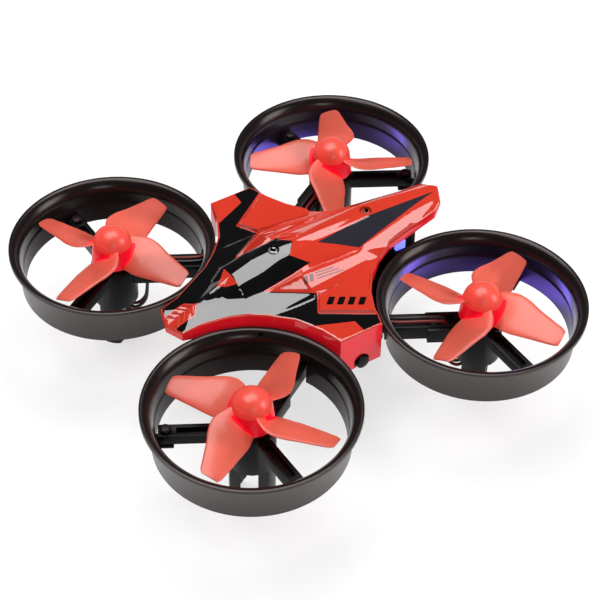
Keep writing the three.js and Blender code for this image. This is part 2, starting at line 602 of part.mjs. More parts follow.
for (const rotor of ROTORS) {
  for (const [kind, lane, colour] of [['live', 0.5, LEAD_RED], ['return', -0.5, LEAD_BLACK]]) {
    const path = wire(wireRoute(rotor, lane), WIRE_RADIUS, 17);
    add(`wire_${kind}_${rotor.name}`, path, plastic(colour, 0.5));
  }
}

// ---------- battery, board and switch ----------
add('battery_pad', block(
  [BATTERY.x0 + 1, 1 - BATTERY.half, TRAY_FLOOR], [BATTERY.x1 - 1, BATTERY.half - 1, BATTERY.z0 - GAP],
), plastic(0x303034, 0.95));
const PILLOW = 1.0;              // rounding of the battery's long edges
const cellPlan = new THREE.Shape();
cellPlan.moveTo(BATTERY.x0 + PILLOW, BATTERY.z0);
cellPlan.lineTo(BATTERY.x1 - PILLOW, BATTERY.z0);
cellPlan.quadraticCurveTo(BATTERY.x1, BATTERY.z0, BATTERY.x1, BATTERY.z0 + PILLOW);
cellPlan.lineTo(BATTERY.x1, BATTERY.z1 - PILLOW);
cellPlan.quadraticCurveTo(BATTERY.x1, BATTERY.z1, BATTERY.x1 - PILLOW, BATTERY.z1);
cellPlan.lineTo(BATTERY.x0 + PILLOW, BATTERY.z1);
cellPlan.quadraticCurveTo(BATTERY.x0, BATTERY.z1, BATTERY.x0, BATTERY.z1 - PILLOW);
cellPlan.lineTo(BATTERY.x0, BATTERY.z0 + PILLOW);
cellPlan.quadraticCurveTo(BATTERY.x0, BATTERY.z0, BATTERY.x0 + PILLOW, BATTERY.z0);
const cell = new THREE.ExtrudeGeometry(
  cellPlan, { depth: 2 * BATTERY.half, bevelEnabled: false, curveSegments: 4 },
);
add('battery_cell', cell.rotateX(Math.PI / 2).translate(0, BATTERY.half, 0), metal(0xb8bcc4, 0.4));

const BOARD_OUTLINE = [
  [-10, -4.5], [-8, -6], [9, -6], [11, -3.2], [16, -3.2],
  [16, 3.2], [11, 3.2], [9, 6], [-8, 6], [-10, 4.5],
];
const BOARD_TOP = BOARD_BOTTOM + BOARD_THICK;
const boardHoles = POSTS.map((x) => solid(rod(SCREW_HOLE, THROUGH, CANOPY_ABOVE, [x, 0])));
const board = cut(solid(prism(BOARD_OUTLINE, BOARD_BOTTOM, BOARD_TOP)), ...boardHoles);
add('circuit_board', shape(board), plastic(0x184a2c, 0.45));
const CHIPS = {
  flight_chip: [[1.0, -2.2], [5.2, 2.0], 0.9], radio_chip: [[-9.0, -1.6], [-6.8, 1.4], 0.8],
  motion_sensor: [[7.4, -1.2], [9.8, 1.2], 0.8],
};
for (const [name, [[x0, y0], [x1, y1], tall]] of Object.entries(CHIPS)) {
  const chip = block([x0, y0, BOARD_TOP + GAP], [x1, y1, BOARD_TOP + GAP + tall]);
  add(name, chip, plastic(CHIP_BLACK, 0.5));
}
const AERIAL = [
  [-8.4, 3.6, 9.5], [-10.4, 4.0, 9.0], [-12.6, 3.4, 8.0],
  [-15.0, 1.8, 7.4], [-17.6, -0.6, 7.0], [-19.2, -1.6, 6.6],
];
add('aerial_wire', wire(AERIAL, WIRE_RADIUS, 10), plastic(0x9c9ca0, 0.5));

const PLUG = { x0: -9.6, x1: -6.4, y0: 2.4, y1: 5.8, z0: 4.4, z1: 7.6 };
const plug = block([PLUG.x0, PLUG.y0, PLUG.z0], [PLUG.x1, PLUG.y1, PLUG.z1]);
add('battery_plug', plug, plastic(CONNECTOR_WHITE, 0.5));
const LEAD_RADIUS = 0.5;
for (const [name, y, colour] of [
  ['battery_lead_red', 3.3, LEAD_RED], ['battery_lead_black', 4.9, LEAD_BLACK],
]) {
  const route = [[BATTERY.x0 - GAP, y, 5.4], [-3.9, y, 5.5], [-5.0, y, 6.2], [PLUG.x1 + GAP, y, 6.3]];
  add(name, wire(route, LEAD_RADIUS, 6), plastic(colour, 0.5));
}

const switchHalf = TAIL_BOX.half - TAIL_BOX.wall - GAP;
const switchBody = cut(
  solid(block(
    [SWITCH.x - SWITCH.halfX, -switchHalf, TRAY_FLOOR + TRAY_WALL + GAP],
    [SWITCH.x + SWITCH.halfX, switchHalf, SWITCH.top],
  )),
  solid(block(
    [SWITCH.x - SWITCH.slotX, -SWITCH.slotY, 0],
    [SWITCH.x + SWITCH.slotX, SWITCH.slotY, SWITCH.knobTop + GAP],
  )),
);
add('switch_body', shape(switchBody), metal(0x9a9ca0, 0.4));
const knobY = -SWITCH.travel / 2;            // modelled switched off
add('switch_knob', block(
  [SWITCH.x - SWITCH.knob, knobY - SWITCH.knob, 0.0],
  [SWITCH.x + SWITCH.knob, knobY + SWITCH.knob, SWITCH.knobTop],
), plastic(CHIP_BLACK, 0.5));
const socketEnd = TAIL_BOX.x1 + 0.2;
const socketBody = cut(
  solid(block([SOCKET.x0, -SOCKET.half, SOCKET.z0], [socketEnd, SOCKET.half, SOCKET.z1])),
  solid(block(
    [socketEnd - SOCKET.depth, SOCKET.wall - SOCKET.half, SOCKET.z0 + SOCKET.wall],
    [socketEnd + 1, SOCKET.half - SOCKET.wall, SOCKET.z1 - SOCKET.wall],
  )),
);
add('charging_socket', shape(socketBody), plastic(CONNECTOR_WHITE, 0.5));
for (const [name, side] of [['left', -1], ['right', 1]]) {
  const [near, far] = [side * (TAIL_BOX.half - TAIL_BOX.wall), side * (TAIL_BOX.half + 0.2)];
  add(`tail_lamp_${name}`, block(
    [LAMP.x - LAMP.halfX, Math.min(near, far), LAMP.z0], [LAMP.x + LAMP.halfX, Math.max(near, far), LAMP.z1],
  ), plastic(0x5a78ff, 0.15));
  const y = side * FRONT_LAMP.y;
  add(`front_lamp_${name}`, block(
    [-X_ARM_END - 0.2, y - FRONT_LAMP.half, FRONT_LAMP.z0],
    [-X_ARM_END + TRAY_WALL + 0.6, y + FRONT_LAMP.half, FRONT_LAMP.z1],
  ), plastic(0xdfe6f0, 0.15));
}

// ---------- screws ----------
/** A pan-headed screw with a cross recess, head up, shank down from z = 0. */
function screw(headRadius, headHeight, shankLength) {
  const body = solid(turned([
    [0, -shankLength], [SCREW_HOLE - GAP, -shankLength], [SCREW_HOLE - GAP, 0], [headRadius, 0],
    [headRadius, headHeight * 0.6], [headRadius * 0.7, headHeight], [0, headHeight],
  ], 12));
  const slot = [headRadius * 0.6, headRadius * 0.14];
  return cut(
    body,
    solid(block([-slot[0], -slot[1], headHeight * 0.4], [slot[0], slot[1], 2])),
    solid(block([-slot[1], -slot[0], headHeight * 0.4], [slot[1], slot[0], 2])),
  );
}
const steel = metal(STEEL_GREY, 0.3);
for (const [name, x] of [['front', POSTS[0]], ['rear', POSTS[1]]]) {
  const fastener = add(`canopy_screw_${name}`, shape(screw(HEAD_RADIUS, 0.6, 10)), steel);
  fastener.position.set(x, 0, HEAD_SEAT + GAP);
}
const HOLDING_HEAD = 1.1;         // head radius of the screws under the canopy and in the cover
for (const rotor of ROTORS) {
  const fastener = add(`arm_screw_${rotor.name}`, shape(screw(HOLDING_HEAD, 0.6, 2.3)), steel);
  const [x, y] = polar(ARM_SCREW, rotor.arm);
  fastener.position.set(rotor.x * ROTOR_OFFSET + x, rotor.y * ROTOR_OFFSET + y, ARM_TOP + GAP);
}
const coverFastener = add('cover_screw', shape(screw(HOLDING_HEAD, 0.5, 4.2)), steel);
coverFastener.position.set(...COVER_SCREW, COVER_TOP - COVER.thick - GAP);
coverFastener.rotation.x = Math.PI;

export default drone;
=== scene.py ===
"""Looks of the palm drone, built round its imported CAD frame. Lengths in the tables are millimetres."""
import json
import math

import bmesh
import bpy
import numpy as np
from mathutils import Matrix, Vector
from mathutils.geometry import delaunay_2d_cdt, tessellate_polygon


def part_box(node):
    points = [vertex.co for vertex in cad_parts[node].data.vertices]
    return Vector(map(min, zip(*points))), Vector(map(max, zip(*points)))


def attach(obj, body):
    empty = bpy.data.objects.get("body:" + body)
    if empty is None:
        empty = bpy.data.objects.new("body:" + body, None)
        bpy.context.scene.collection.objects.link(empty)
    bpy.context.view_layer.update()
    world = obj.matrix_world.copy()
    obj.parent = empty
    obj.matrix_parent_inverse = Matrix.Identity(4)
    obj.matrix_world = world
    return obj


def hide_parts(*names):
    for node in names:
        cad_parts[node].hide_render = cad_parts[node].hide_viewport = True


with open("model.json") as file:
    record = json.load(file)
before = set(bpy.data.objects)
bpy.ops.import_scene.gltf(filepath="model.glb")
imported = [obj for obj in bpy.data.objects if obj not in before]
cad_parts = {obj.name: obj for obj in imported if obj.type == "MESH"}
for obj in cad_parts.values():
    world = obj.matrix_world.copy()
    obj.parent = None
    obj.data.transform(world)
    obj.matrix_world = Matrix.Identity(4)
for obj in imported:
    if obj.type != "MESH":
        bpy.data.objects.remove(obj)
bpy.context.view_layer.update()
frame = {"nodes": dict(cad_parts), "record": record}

MM = 0.001
DECK = 13.0                      # duct bottoms above the ground
ROTOR_OFFSET = 23.0
# Signs of x and y, directions of the spokes, of the wide arm and of the first blade, and hand of the blades.
ROTORS = {
    "front_left": dict(at=(-1, -1), spokes=(150, 270), arm=30, spin=-1, phase=32.1),
    "rear_left": dict(at=(1, -1), spokes=(30, 270), arm=150, spin=1, phase=26.7),
    "front_right": dict(at=(-1, 1), spokes=(90, 210), arm=330, spin=1, phase=26.7),
    "rear_right": dict(at=(1, 1), spokes=(90, 330), arm=210, spin=-1, phase=57.9),
}


def add_object(name, data):
    made = bpy.data.objects.new(name, data)
    bpy.context.scene.collection.objects.link(made)
    return made


def polar(radius, degrees):
    return radius * math.cos(math.radians(degrees)), radius * math.sin(math.radians(degrees))


# ---------- camera, lights and world ----------
# Degrees and millimetres.
CAMERA_AZIMUTH, CAMERA_ELEVATION, CAMERA_ROLL = -33.72, 43.59, 1.0
CAMERA_AIM_HEIGHT, CAMERA_AIM_RIGHT, CAMERA_AIM_DOWN = DECK + 8.02, 0.94, 5.13
CAMERA_DISTANCE, CAMERA_LENS = 309.8, 108.16


def add_camera():
    """The viewpoint of a person at a table: 34 degrees left of the nose line, 44 degrees up."""
    azimuth, elevation = math.radians(CAMERA_AZIMUTH), math.radians(CAMERA_ELEVATION)
    roll = math.radians(CAMERA_ROLL)
    flat = math.cos(elevation)
    back = Vector((math.sin(azimuth) * flat, -math.cos(azimuth) * flat, math.sin(elevation)))
    side = Vector((0, 0, 1)).cross(back).normalized()
    above = back.cross(side)
    right = side * math.cos(roll) + above * math.sin(roll)
    up = above * math.cos(roll) - side * math.sin(roll)
    aim = Vector((0, 0, CAMERA_AIM_HEIGHT)) + right * CAMERA_AIM_RIGHT - up * CAMERA_AIM_DOWN
    data = bpy.data.cameras.new("camera")
    data.sensor_width = 36.0
    data.lens = CAMERA_LENS
    data.clip_start, data.clip_end = 0.01, 20.0
    camera = add_object("camera", data)
    turn = Matrix((right, up, back)).transposed()
    camera.matrix_world = Matrix.Translation((aim + back * CAMERA_DISTANCE) * MM) @ turn.to_4x4()
    bpy.context.scene.camera = camera


# Lights are sized and placed in metres.
LIGHT_RADIANCE = 6.0
TOP_LIGHT_AT = (0.0175, 0.19, 0.7)
GLOW_COLOUR, GLOW_WATTS, GLOW_RADIUS = (0.20, 0.12, 1.0), 0.006, 0.003
TAIL_GLOWS = [(0.0315, -0.0165, 0.008), (0.0265, 0.0335, 0.008)]
GLOW_REACH = bpy.data.collections.new("glow_reach")     # the rear ducts, which alone receive the glow


def softbox(name, azimuth, elevation, distance, size):
    """A rectangular light that faces the object from a direction in degrees."""
    x, y = polar(math.cos(math.radians(elevation)), azimuth)
    way = Vector((x, y, math.sin(math.radians(elevation))))
    light = bpy.data.lights.new(name, "AREA")
    light.shape = "RECTANGLE"
    light.size, light.size_y = size
    light.energy = LIGHT_RADIANCE * math.pi * size[0] * size[1]
    lamp = add_object(name, light)
    lamp.rotation_mode = "QUATERNION"
    if elevation < 90:
        lamp.rotation_quaternion = way.to_track_quat("Z", "Y")
    lamp.location = way * distance
    return lamp


def add_lights():
    """A large box overhead, a tall one by the tail, a small one by the nose, and the tail lamps' glow."""
    top = softbox("top_light", 90, 90, 0.7, (0.665, 0.525))
    top.location = TOP_LIGHT_AT
    softbox("side_light", -43.5, 26, 0.9, (0.40, 0.50))
    softbox("nose_light", -111, 27.5, 0.9, (0.22, 0.16))
    for spot in TAIL_GLOWS:
        glow = bpy.data.lights.new("tail_glow", "POINT")
        glow.color = GLOW_COLOUR
        glow.energy = GLOW_WATTS
        glow.shadow_soft_size = GLOW_RADIUS
        glow.use_shadow = False
        lamp = add_object("tail_glow", glow)
        lamp.location = spot
        lamp.light_linking.receiver_collection = GLOW_REACH


SEEN_COLOUR, LIT_COLOUR = (0.93, 0.935, 0.94, 1), (0.96, 0.97, 1.0, 1)
HORIZON_STRENGTH, CEILING_STRENGTH = 1.3, 0.045
HORIZON_LOW, HORIZON_HIGH = -0.05, 0.22      # sines of the elevations between which the sweep fades


def add_world():
    """Pale to the eye; as a light, a white sweep near the horizon and a dim room above it."""
    world = bpy.data.worlds.new("studio")
    bpy.context.scene.world = world
    world.use_nodes = True
    nodes, links = world.node_tree.nodes, world.node_tree.links
    nodes.clear()
    out = nodes.new("ShaderNodeOutputWorld")
    mix = nodes.new("ShaderNodeMixShader")
    seen = nodes.new("ShaderNodeBackground")
    seen.inputs["Color"].default_value = SEEN_COLOUR
    lit = nodes.new("ShaderNodeBackground")
    lit.inputs["Color"].default_value = LIT_COLOUR
    split = nodes.new("ShaderNodeSeparateXYZ")
    links.new(nodes.new("ShaderNodeTexCoord").outputs["Generated"], split.inputs[0])
    fade = nodes.new("ShaderNodeMapRange")
    fade.interpolation_type = "SMOOTHSTEP"
    fade.inputs["From Min"].default_value = HORIZON_LOW
    fade.inputs["From Max"].default_value = HORIZON_HIGH
    fade.inputs["To Min"].default_value = HORIZON_STRENGTH
    fade.inputs["To Max"].default_value = CEILING_STRENGTH
    links.new(split.outputs["Z"], fade.inputs["Value"])
    links.new(fade.outputs["Result"], lit.inputs["Strength"])
    path = nodes.new("ShaderNodeLightPath")
    links.new(path.outputs["Is Camera Ray"], mix.inputs[0])
    links.new(lit.outputs[0], mix.inputs[1])
    links.new(seen.outputs[0], mix.inputs[2])
    links.new(mix.outputs[0], out.inputs["Surface"])
    bpy.context.scene.view_settings.view_transform = "Standard"


# ---------- materials ----------
NOISE_LOW, NOISE_HIGH = 0.3, 0.7     # the part of a noise texture's range that is used
DRIFT_SCALE = 0.12                   # scale of the colour drift, as a share of the grain's
GRAIN_DEPTH = 0.0002


def noise(nodes, links, where, scale, detail):
    texture = nodes.new("ShaderNodeTexNoise")
    texture.inputs["Scale"].default_value = scale
    texture.inputs["Detail"].default_value = detail
    links.new(where, texture.inputs["Vector"])
    return texture.outputs["Fac"]


def surface(name, colour, vary, rough, grain=900.0, bump=0.02, fine=5200.0, **shader):
    """A moulded or painted surface: broad colour drift, uneven gloss and a fine grain in the relief.

    The colour drifts by the share vary and the roughness over the range rough. Grain and fine are noise
    scales per metre. Other keywords are sockets of the shader.
    """
    material = bpy.data.materials.new(name)
    material.use_nodes = True
    nodes, links = material.node_tree.nodes, material.node_tree.links
    principled = nodes["Principled BSDF"]
    where = nodes.new("ShaderNodeTexCoord").outputs["Object"]
    ramp = nodes.new("ShaderNodeValToRGB")
    ramp.color_ramp.elements[0].position = NOISE_LOW
    ramp.color_ramp.elements[1].position = NOISE_HIGH
    ramp.color_ramp.elements[0].color = (*[c * (1 - vary) for c in colour], 1)
    ramp.color_ramp.elements[1].color = (*[min(1, c * (1 + vary)) for c in colour], 1)
    links.new(noise(nodes, links, where, grain * DRIFT_SCALE, 3.0), ramp.inputs["Fac"])
    links.new(ramp.outputs["Color"], principled.inputs["Base Color"])
    gloss = nodes.new("ShaderNodeMapRange")
    gloss.inputs["From Min"].default_value = NOISE_LOW
    gloss.inputs["From Max"].default_value = NOISE_HIGH
    gloss.inputs["To Min"].default_value, gloss.inputs["To Max"].default_value = rough
    links.new(noise(nodes, links, where, grain, 4.0), gloss.inputs["Value"])
    links.new(gloss.outputs["Result"], principled.inputs["Roughness"])
    relief = nodes.new("ShaderNodeBump")
    relief.inputs["Strength"].default_value = bump
    relief.inputs["Distance"].default_value = GRAIN_DEPTH
    links.new(noise(nodes, links, where, fine, 2.0), relief.inputs["Height"])
    links.new(relief.outputs["Normal"], principled.inputs["Normal"])
    for socket, value in shader.items():
        principled.inputs[socket.replace("_", " ").title().replace("Ior", "IOR")].default_value = value
    return material


def lacquer(name, colour, vary, coat_roughness, rough=(0.3, 0.4), **shader):
    """Paint of the canopy: only its clear coat shines."""
    return surface(
        name, colour, vary, rough, bump=0.004, specular_ior_level=0.0, coat_weight=1.0,
        coat_roughness=coat_roughness, **shader,
    )


CANOPY_RED = lacquer("canopy_red", (0.60, 0.038, 0.019), 0.04, 0.05, coat_ior=1.6)
CANOPY_BLACK = lacquer("canopy_black", (0.0028, 0.0027, 0.003), 0.2, 0.045, coat_ior=1.72)
# Black lightened to slate grey for the tail flash: a painted reflection on the glossy black.
CANOPY_SLATE_SHEEN = lacquer("canopy_slate_painted_sheen", (0.024, 0.022, 0.031), 0.1, 0.045, coat_ior=1.5)
# The canopy's side walls: a deeper red than the top, which is painted shade, and an emission that paints a
# glow onto them.
CANOPY_SKIRT_SHADE_GLOW = lacquer(
    "canopy_skirt_painted_shade_glow", (0.80, 0.010, 0.024), 0.04, 0.06, coat_ior=1.55, emission_color=(0.9, 0.006, 0.015, 1),
    emission_strength=0.16,
)
CANOPY_MARK = lacquer("canopy_mark", (0.12, 0.02, 0.02), 0.1, 0.06, (0.35, 0.45))
DUCT_TINT = (1.0, 0.86, 0.84, 1)
DUCT = surface(
    "duct_charcoal", (0.019, 0.0145, 0.0135), 0.02, (0.33, 0.36), bump=0.0, specular_ior_level=0.45,
    specular_tint=DUCT_TINT, coat_weight=0.1, coat_roughness=0.18,
)
# Darker and less shiny than the outside: painted shade on the straight wall inside the ring.
DUCT_WALL_SHADED = surface(
    "duct_wall_painted_shade", (0.012, 0.007, 0.008), 0.02, (0.3, 0.34), bump=0.0, specular_ior_level=0.16,
    specular_tint=DUCT_TINT,
)
# The lip: glossier than the outside, and darker, which is painted shade.
DUCT_LIP_SHADED = surface(
    "duct_lip_painted_shade", (0.009, 0.006, 0.006), 0.02, (0.21, 0.25), bump=0.0, specular_ior_level=0.34,
    specular_tint=DUCT_TINT,
)
FRAME = surface(
    "frame_black", (0.0045, 0.004, 0.0045), 0.15, (0.3, 0.4), bump=0.02, fine=6500.0, specular_ior_level=0.12,
)
CORAL = surface(
    "rotor_coral", (0.95, 0.18, 0.12), 0.04, (0.285, 0.34), bump=0.004, transmission_weight=0.55, ior=1.40,
    coat_weight=0.12, coat_roughness=0.10,
)
# The hub's lower part: a deeper red than the blades, which is painted shade, and an emission that paints the
# glow of light through the plastic.
HUB_RED_SHADE_GLOW = surface(
    "rotor_hub_painted_shade_glow", (0.82, 0.006, 0.022), 0.04, (0.3, 0.38), bump=0.004, specular_ior_level=0.2,
    emission_color=(0.9, 0.005, 0.02, 1), emission_strength=0.34,
)
SCREW = surface("screw_steel", (0.52, 0.49, 0.49), 0.1, (0.34, 0.46), bump=0.02, metallic=1.0)
SCREW_RED = surface("screw_red", (0.50, 0.05, 0.035), 0.1, (0.32, 0.42), coat_weight=0.6, coat_roughness=0.08)
STEEL = surface("steel", (0.62, 0.62, 0.64), 0.05, (0.28, 0.36), metallic=1.0)
MOTOR = surface("motor_steel", (0.50, 0.50, 0.52), 0.05, (0.28, 0.38), metallic=1.0)
MOTOR_CAP = surface("motor_cap", (0.72, 0.70, 0.66), 0.05, (0.4, 0.5))
WIRE_RED = surface("wire_red", (0.15, 0.007, 0.007), 0.1, (0.4, 0.5))
WIRE_BLACK = surface("wire_black", (0.012, 0.012, 0.014), 0.2, (0.36, 0.46))
WIRE_GREY = surface("wire_grey", (0.30, 0.30, 0.31), 0.1, (0.4, 0.5))
FOAM = surface("foam", (0.03, 0.03, 0.035), 0.3, (0.85, 0.98), bump=0.6, fine=3500.0)
FOIL = surface("battery_foil", (0.55, 0.56, 0.58), 0.06, (0.28, 0.42), bump=0.25, fine=1200.0, metallic=1.0)
CHIP = surface("chip_black", (0.014, 0.014, 0.016), 0.2, (0.42, 0.55), bump=0.1)
CONNECTOR = surface("connector_white", (0.72, 0.70, 0.62), 0.05, (0.38, 0.5))
BOARD = surface("board_green", (0.010, 0.085, 0.030), 0.35, (0.3, 0.4), grain=2600.0)
LENS_BLUE = surface(
    "lamp_blue", (0.10, 0.14, 0.95), 0.1, (0.1, 0.2), emission_color=(0.10, 0.12, 1.0, 1),
    emission_strength=2.5,
)
LENS_WHITE = surface("lamp_white", (0.80, 0.84, 0.90), 0.04, (0.08, 0.16), transmission_weight=0.5)
FLOOR_PALE = surface(
    "floor_pale", (0.34, 0.34, 0.342), 0.01, (0.55, 0.65), grain=60.0, bump=0.0, specular_ior_level=0.1,
    emission_color=(1, 1, 1, 1), emission_strength=0.68,
)


# ---------- mesh tools ----------
def to_mesh(name, points, faces, material_of=None, materials=()):
    data = bpy.data.meshes.new(name)
    data.from_pydata([tuple(c * MM for c in p) for p in points], [], faces)
    for material in materials:
        data.materials.append(material)
    if material_of is not None:
        data.polygons.foreach_set("material_index", material_of)
    data.validate()
    return add_object(name, data)


SHARP_EDGE = 35.0                # degrees


def soften(piece, angle=SHARP_EDGE):
    """Smooth shading that breaks at edges sharper than the angle."""
    piece.data.polygons.foreach_set("use_smooth", [True] * len(piece.data.polygons))
    piece.data.set_sharp_from_angle(angle=math.radians(angle))
    return piece


def freeze(piece):
    """Applies the modifiers of a piece."""
    graph = bpy.context.evaluated_depsgraph_get()
    data = bpy.data.meshes.new_from_object(piece.evaluated_get(graph))
    old = piece.data
    piece.modifiers.clear()
    piece.data = data
    bpy.data.meshes.remove(old)
    return piece


def combine(piece, tool, operation):
    """Joins a closed tool to a closed piece, or cuts it away, and removes the tool."""
    step = piece.modifiers.new(operation, "BOOLEAN")
    step.object = tool
    step.operation = operation
    step.solver = "MANIFOLD"
    freeze(piece)
    bpy.data.objects.remove(tool)
    return piece


def lathe(profile, segments, centre):
    """Points and faces of a closed [radius, z] profile turned about Z. A zero radius makes a pole."""
    points, rows = [], []
    for radius, z in profile:
        if radius < 1e-6:
            rows.append([len(points)] * segments)
            points.append((centre[0], centre[1], z))
            continue
        rows.append(range(len(points), len(points) + segments))
        for i in range(segments):
            turn = 2 * math.pi * i / segments
            points.append((centre[0] + radius * math.cos(turn), centre[1] + radius * math.sin(turn), z))
    faces = []
    closed = profile[0][0] > 1e-6 and profile[-1][0] > 1e-6
    pairs = list(zip(rows, rows[1:])) + ([(rows[-1], rows[0])] if closed else [])
    for low, high in pairs:
        for i in range(segments):
            j = (i + 1) % segments
            corner = [low[i], low[j], high[j], high[i]]
            face = [c for k, c in enumerate(corner) if c not in corner[:k]]
            if len(face) > 2:
                faces.append(face)
    return points, faces


def outward(piece):
    """Turns the faces of a closed mesh outwards."""
    mesh = bmesh.new()
    mesh.from_mesh(piece.data)
    bmesh.ops.recalc_face_normals(mesh, faces=mesh.faces)
    mesh.to_mesh(piece.data)
    mesh.free()
    return piece


def turned(name, profile, segments, centre, materials=()):
    points, faces = lathe(profile, segments, centre)
    return outward(to_mesh(name, points, faces, materials=materials))


def cylinder(radius, low, high, segments, centre=(0, 0)):
    """An upright tool between two heights."""
    return turned("cylinder", [(0, low), (radius, low), (radius, high), (0, high)], segments, centre)


def on_deck(profile):
    """A profile whose heights are above the duct bottoms."""
    return [(radius, z + DECK) for radius, z in profile]


def brick(low, high, bevel, turn, centre):
    """A box with rounded edges, turned about the Z axis of a rotor."""
    mesh = bmesh.new()
    bmesh.ops.create_cube(mesh, size=1.0)
    size = [b - a for a, b in zip(low, high)]
    middle = [(a + b) / 2 for a, b in zip(low, high)]
    bmesh.ops.scale(mesh, vec=size, verts=mesh.verts)
    bmesh.ops.translate(mesh, vec=middle, verts=mesh.verts)
    if bevel:
        bmesh.ops.bevel(mesh, geom=mesh.edges[:], offset=bevel, segments=3, profile=0.5, affect="EDGES")
    bmesh.ops.rotate(mesh, matrix=Matrix.Rotation(math.radians(turn), 3, "Z"), verts=mesh.verts)
    bmesh.ops.translate(mesh, vec=(centre[0], centre[1], 0), verts=mesh.verts)
    bmesh.ops.scale(mesh, vec=(MM, MM, MM), verts=mesh.verts)
    data = bpy.data.meshes.new("brick")
    mesh.to_mesh(data)
    mesh.free()
    return add_object("brick", data)


def rotor_centre(rotor):
    return rotor["at"][0] * ROTOR_OFFSET, rotor["at"][1] * ROTOR_OFFSET


def body_of_node(node):
    for body, members in frame["record"]["behaviour"]["bodies"].items():
        if node in members:
            return body
    raise KeyError(node)


def place(piece, node):
    """The piece stands for a CAD node and rides on that node's body."""
    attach(piece, body_of_node(node))
    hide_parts(node)
    return piece


MERGE_DISTANCE, FLAT_ANGLE = 2e-6, 1.0       # metres, degrees


def refine(node, material, bevel):
    """A copy of a CAD node with merged flats and edges rounded by the bevel, where it isn't zero."""
    mesh = bmesh.new()
    mesh.from_mesh(frame["nodes"][node].data)
    bmesh.ops.remove_doubles(mesh, verts=mesh.verts, dist=MERGE_DISTANCE)
    bmesh.ops.dissolve_limit(
        mesh, angle_limit=math.radians(FLAT_ANGLE), use_dissolve_boundaries=False, verts=mesh.verts,
        edges=mesh.edges,
    )
    data = bpy.data.meshes.new("fine_" + node)
    mesh.to_mesh(data)
    mesh.free()
    data.materials.clear()
    data.materials.append(material)
    piece = add_object("fine_" + node, data)
    if bevel:
        edge = piece.modifiers.new("edges", "BEVEL")
        edge.width = bevel * MM
        edge.segments = 2
        edge.limit_method = "ANGLE"
        edge.angle_limit = math.radians(SHARP_EDGE)
        freeze(piece)
    return place(soften(piece), node)


# ---------- canopy ----------
# Corners of the flat-faceted top, for the half with y >= 0, as [x, y, height above the duct bottoms].
TOP = {
    "noseTip": (-25.5, 0, 7.6), "noseCorner": (-24.4, 3.6, 8.4), "noseEdge": (-21.0, 4.0, 9.1),
    "frontA": (-17.0, 5.5, 9.9), "frontB": (-13.8, 7.0, 10.1), "frontC": (-10.8, 9.3, 10.2),
    "armA": (-7.8, 12.3, 10.3), "armB": (-5.4, 16.9, 10.3),
    "endFront": (-4.35, 20.65, 10.3), "endRear": (3.9, 20.65, 10.3),
    "rearA": (4.6, 18.6, 10.3), "rearB": (5.2, 16.6, 10.2), "rearC": (7.0, 13.0, 10.1),
    "rearD": (9.7, 9.45, 10.1),
    "tailA": (12.6, 7.3, 10.4), "tailB": (15.8, 5.7, 10.8), "tailC": (21.45, 4.52, 11.25),
    "tailD": (26.9, 3.8, 12.1), "tailE": (28.6, 2.9, 12.6), "tailTip": (30.0, 0, 13.5),
    "noseRidge": (-20.5, 0, 9.6), "cabinTip": (-17.0, 0, 11.3),
    "cabinA": (-12.5, 0, 13.4), "cabinB": (-8.5, 0, 14.7), "cabinC": (-4.4, 0, 15.0),
    "cabinD": (-0.5, 0, 15.0),
    "browA": (-13.0, 2.85, 12.7), "browB": (-8.3, 3.1, 13.6), "browC": (-4.2, 2.5, 14.4),
    "browD": (-2.6, 2.4, 14.6),
    "sillA": (-15.5, 2.2, 10.9), "sillB": (-12.5, 4.05, 11.2), "sillC": (-9.3, 4.6, 11.15),
    "sillD": (-3.8, 4.3, 11.8), "sillE": (0.37, 4.25, 12.9),
    "spineA": (2.67, 1.24, 14.6), "spineB": (14.5, 1.6, 15.0), "spineC": (29.2, 0.6, 13.7),
    "spineMid": (14.5, 0, 15.0),
    "hipA": (-9.0, 4.9, 11.3), "hipB": (-3.0, 6.15, 13.5), "hipC": (9.9, 5.6, 12.4),
    "hipD": (28.0, 2.4, 12.95),
    "ditchA": (-2.7, 5.3, 12.35), "ditchB": (7.0, 5.3, 12.1),
    "kickA": (-2.2, 8.35, 11.3), "kickB": (9.2, 7.3, 10.95),
    "footA": (-1.6, 9.2, 10.7), "footB": (9.5, 7.75, 10.7),
}
FACES = [
    "noseTip noseRidge noseEdge noseCorner", "noseRidge cabinTip sillA frontA noseEdge",
    "sillA sillB frontB frontA", "sillB sillC hipA frontC frontB", "hipA footA frontC", "hipA hipB kickA",
    "hipB hipC kickB kickA", "hipA kickA footA", "kickA kickB footB footA", "sillC sillD ditchA hipB hipA",
    "sillD sillE ditchB ditchA", "ditchA ditchB hipC hipB", "sillE hipC ditchB", "sillE spineA spineB hipC",
    "spineB spineC hipD hipC", "cabinD spineMid spineB spineA", "spineMid tailTip spineC spineB",
    "tailTip tailE hipD spineC", "cabinTip cabinA browA sillA", "sillA browA sillB",
    "cabinA cabinB browB browA", "browA browB sillC sillB", "cabinB cabinC browC browB",
    "browB browC sillD sillC", "cabinC cabinD browD browC", "browC browD sillE sillD",
    "cabinD spineA browD", "browD spineA sillE", "kickB hipC tailA footB", "hipC tailB tailA",
    "hipC tailC tailB", "hipC hipD tailC", "hipD tailE tailD tailC",
    "footA footB tailA rearD rearC rearB rearA endRear endFront armB armA frontC",
]
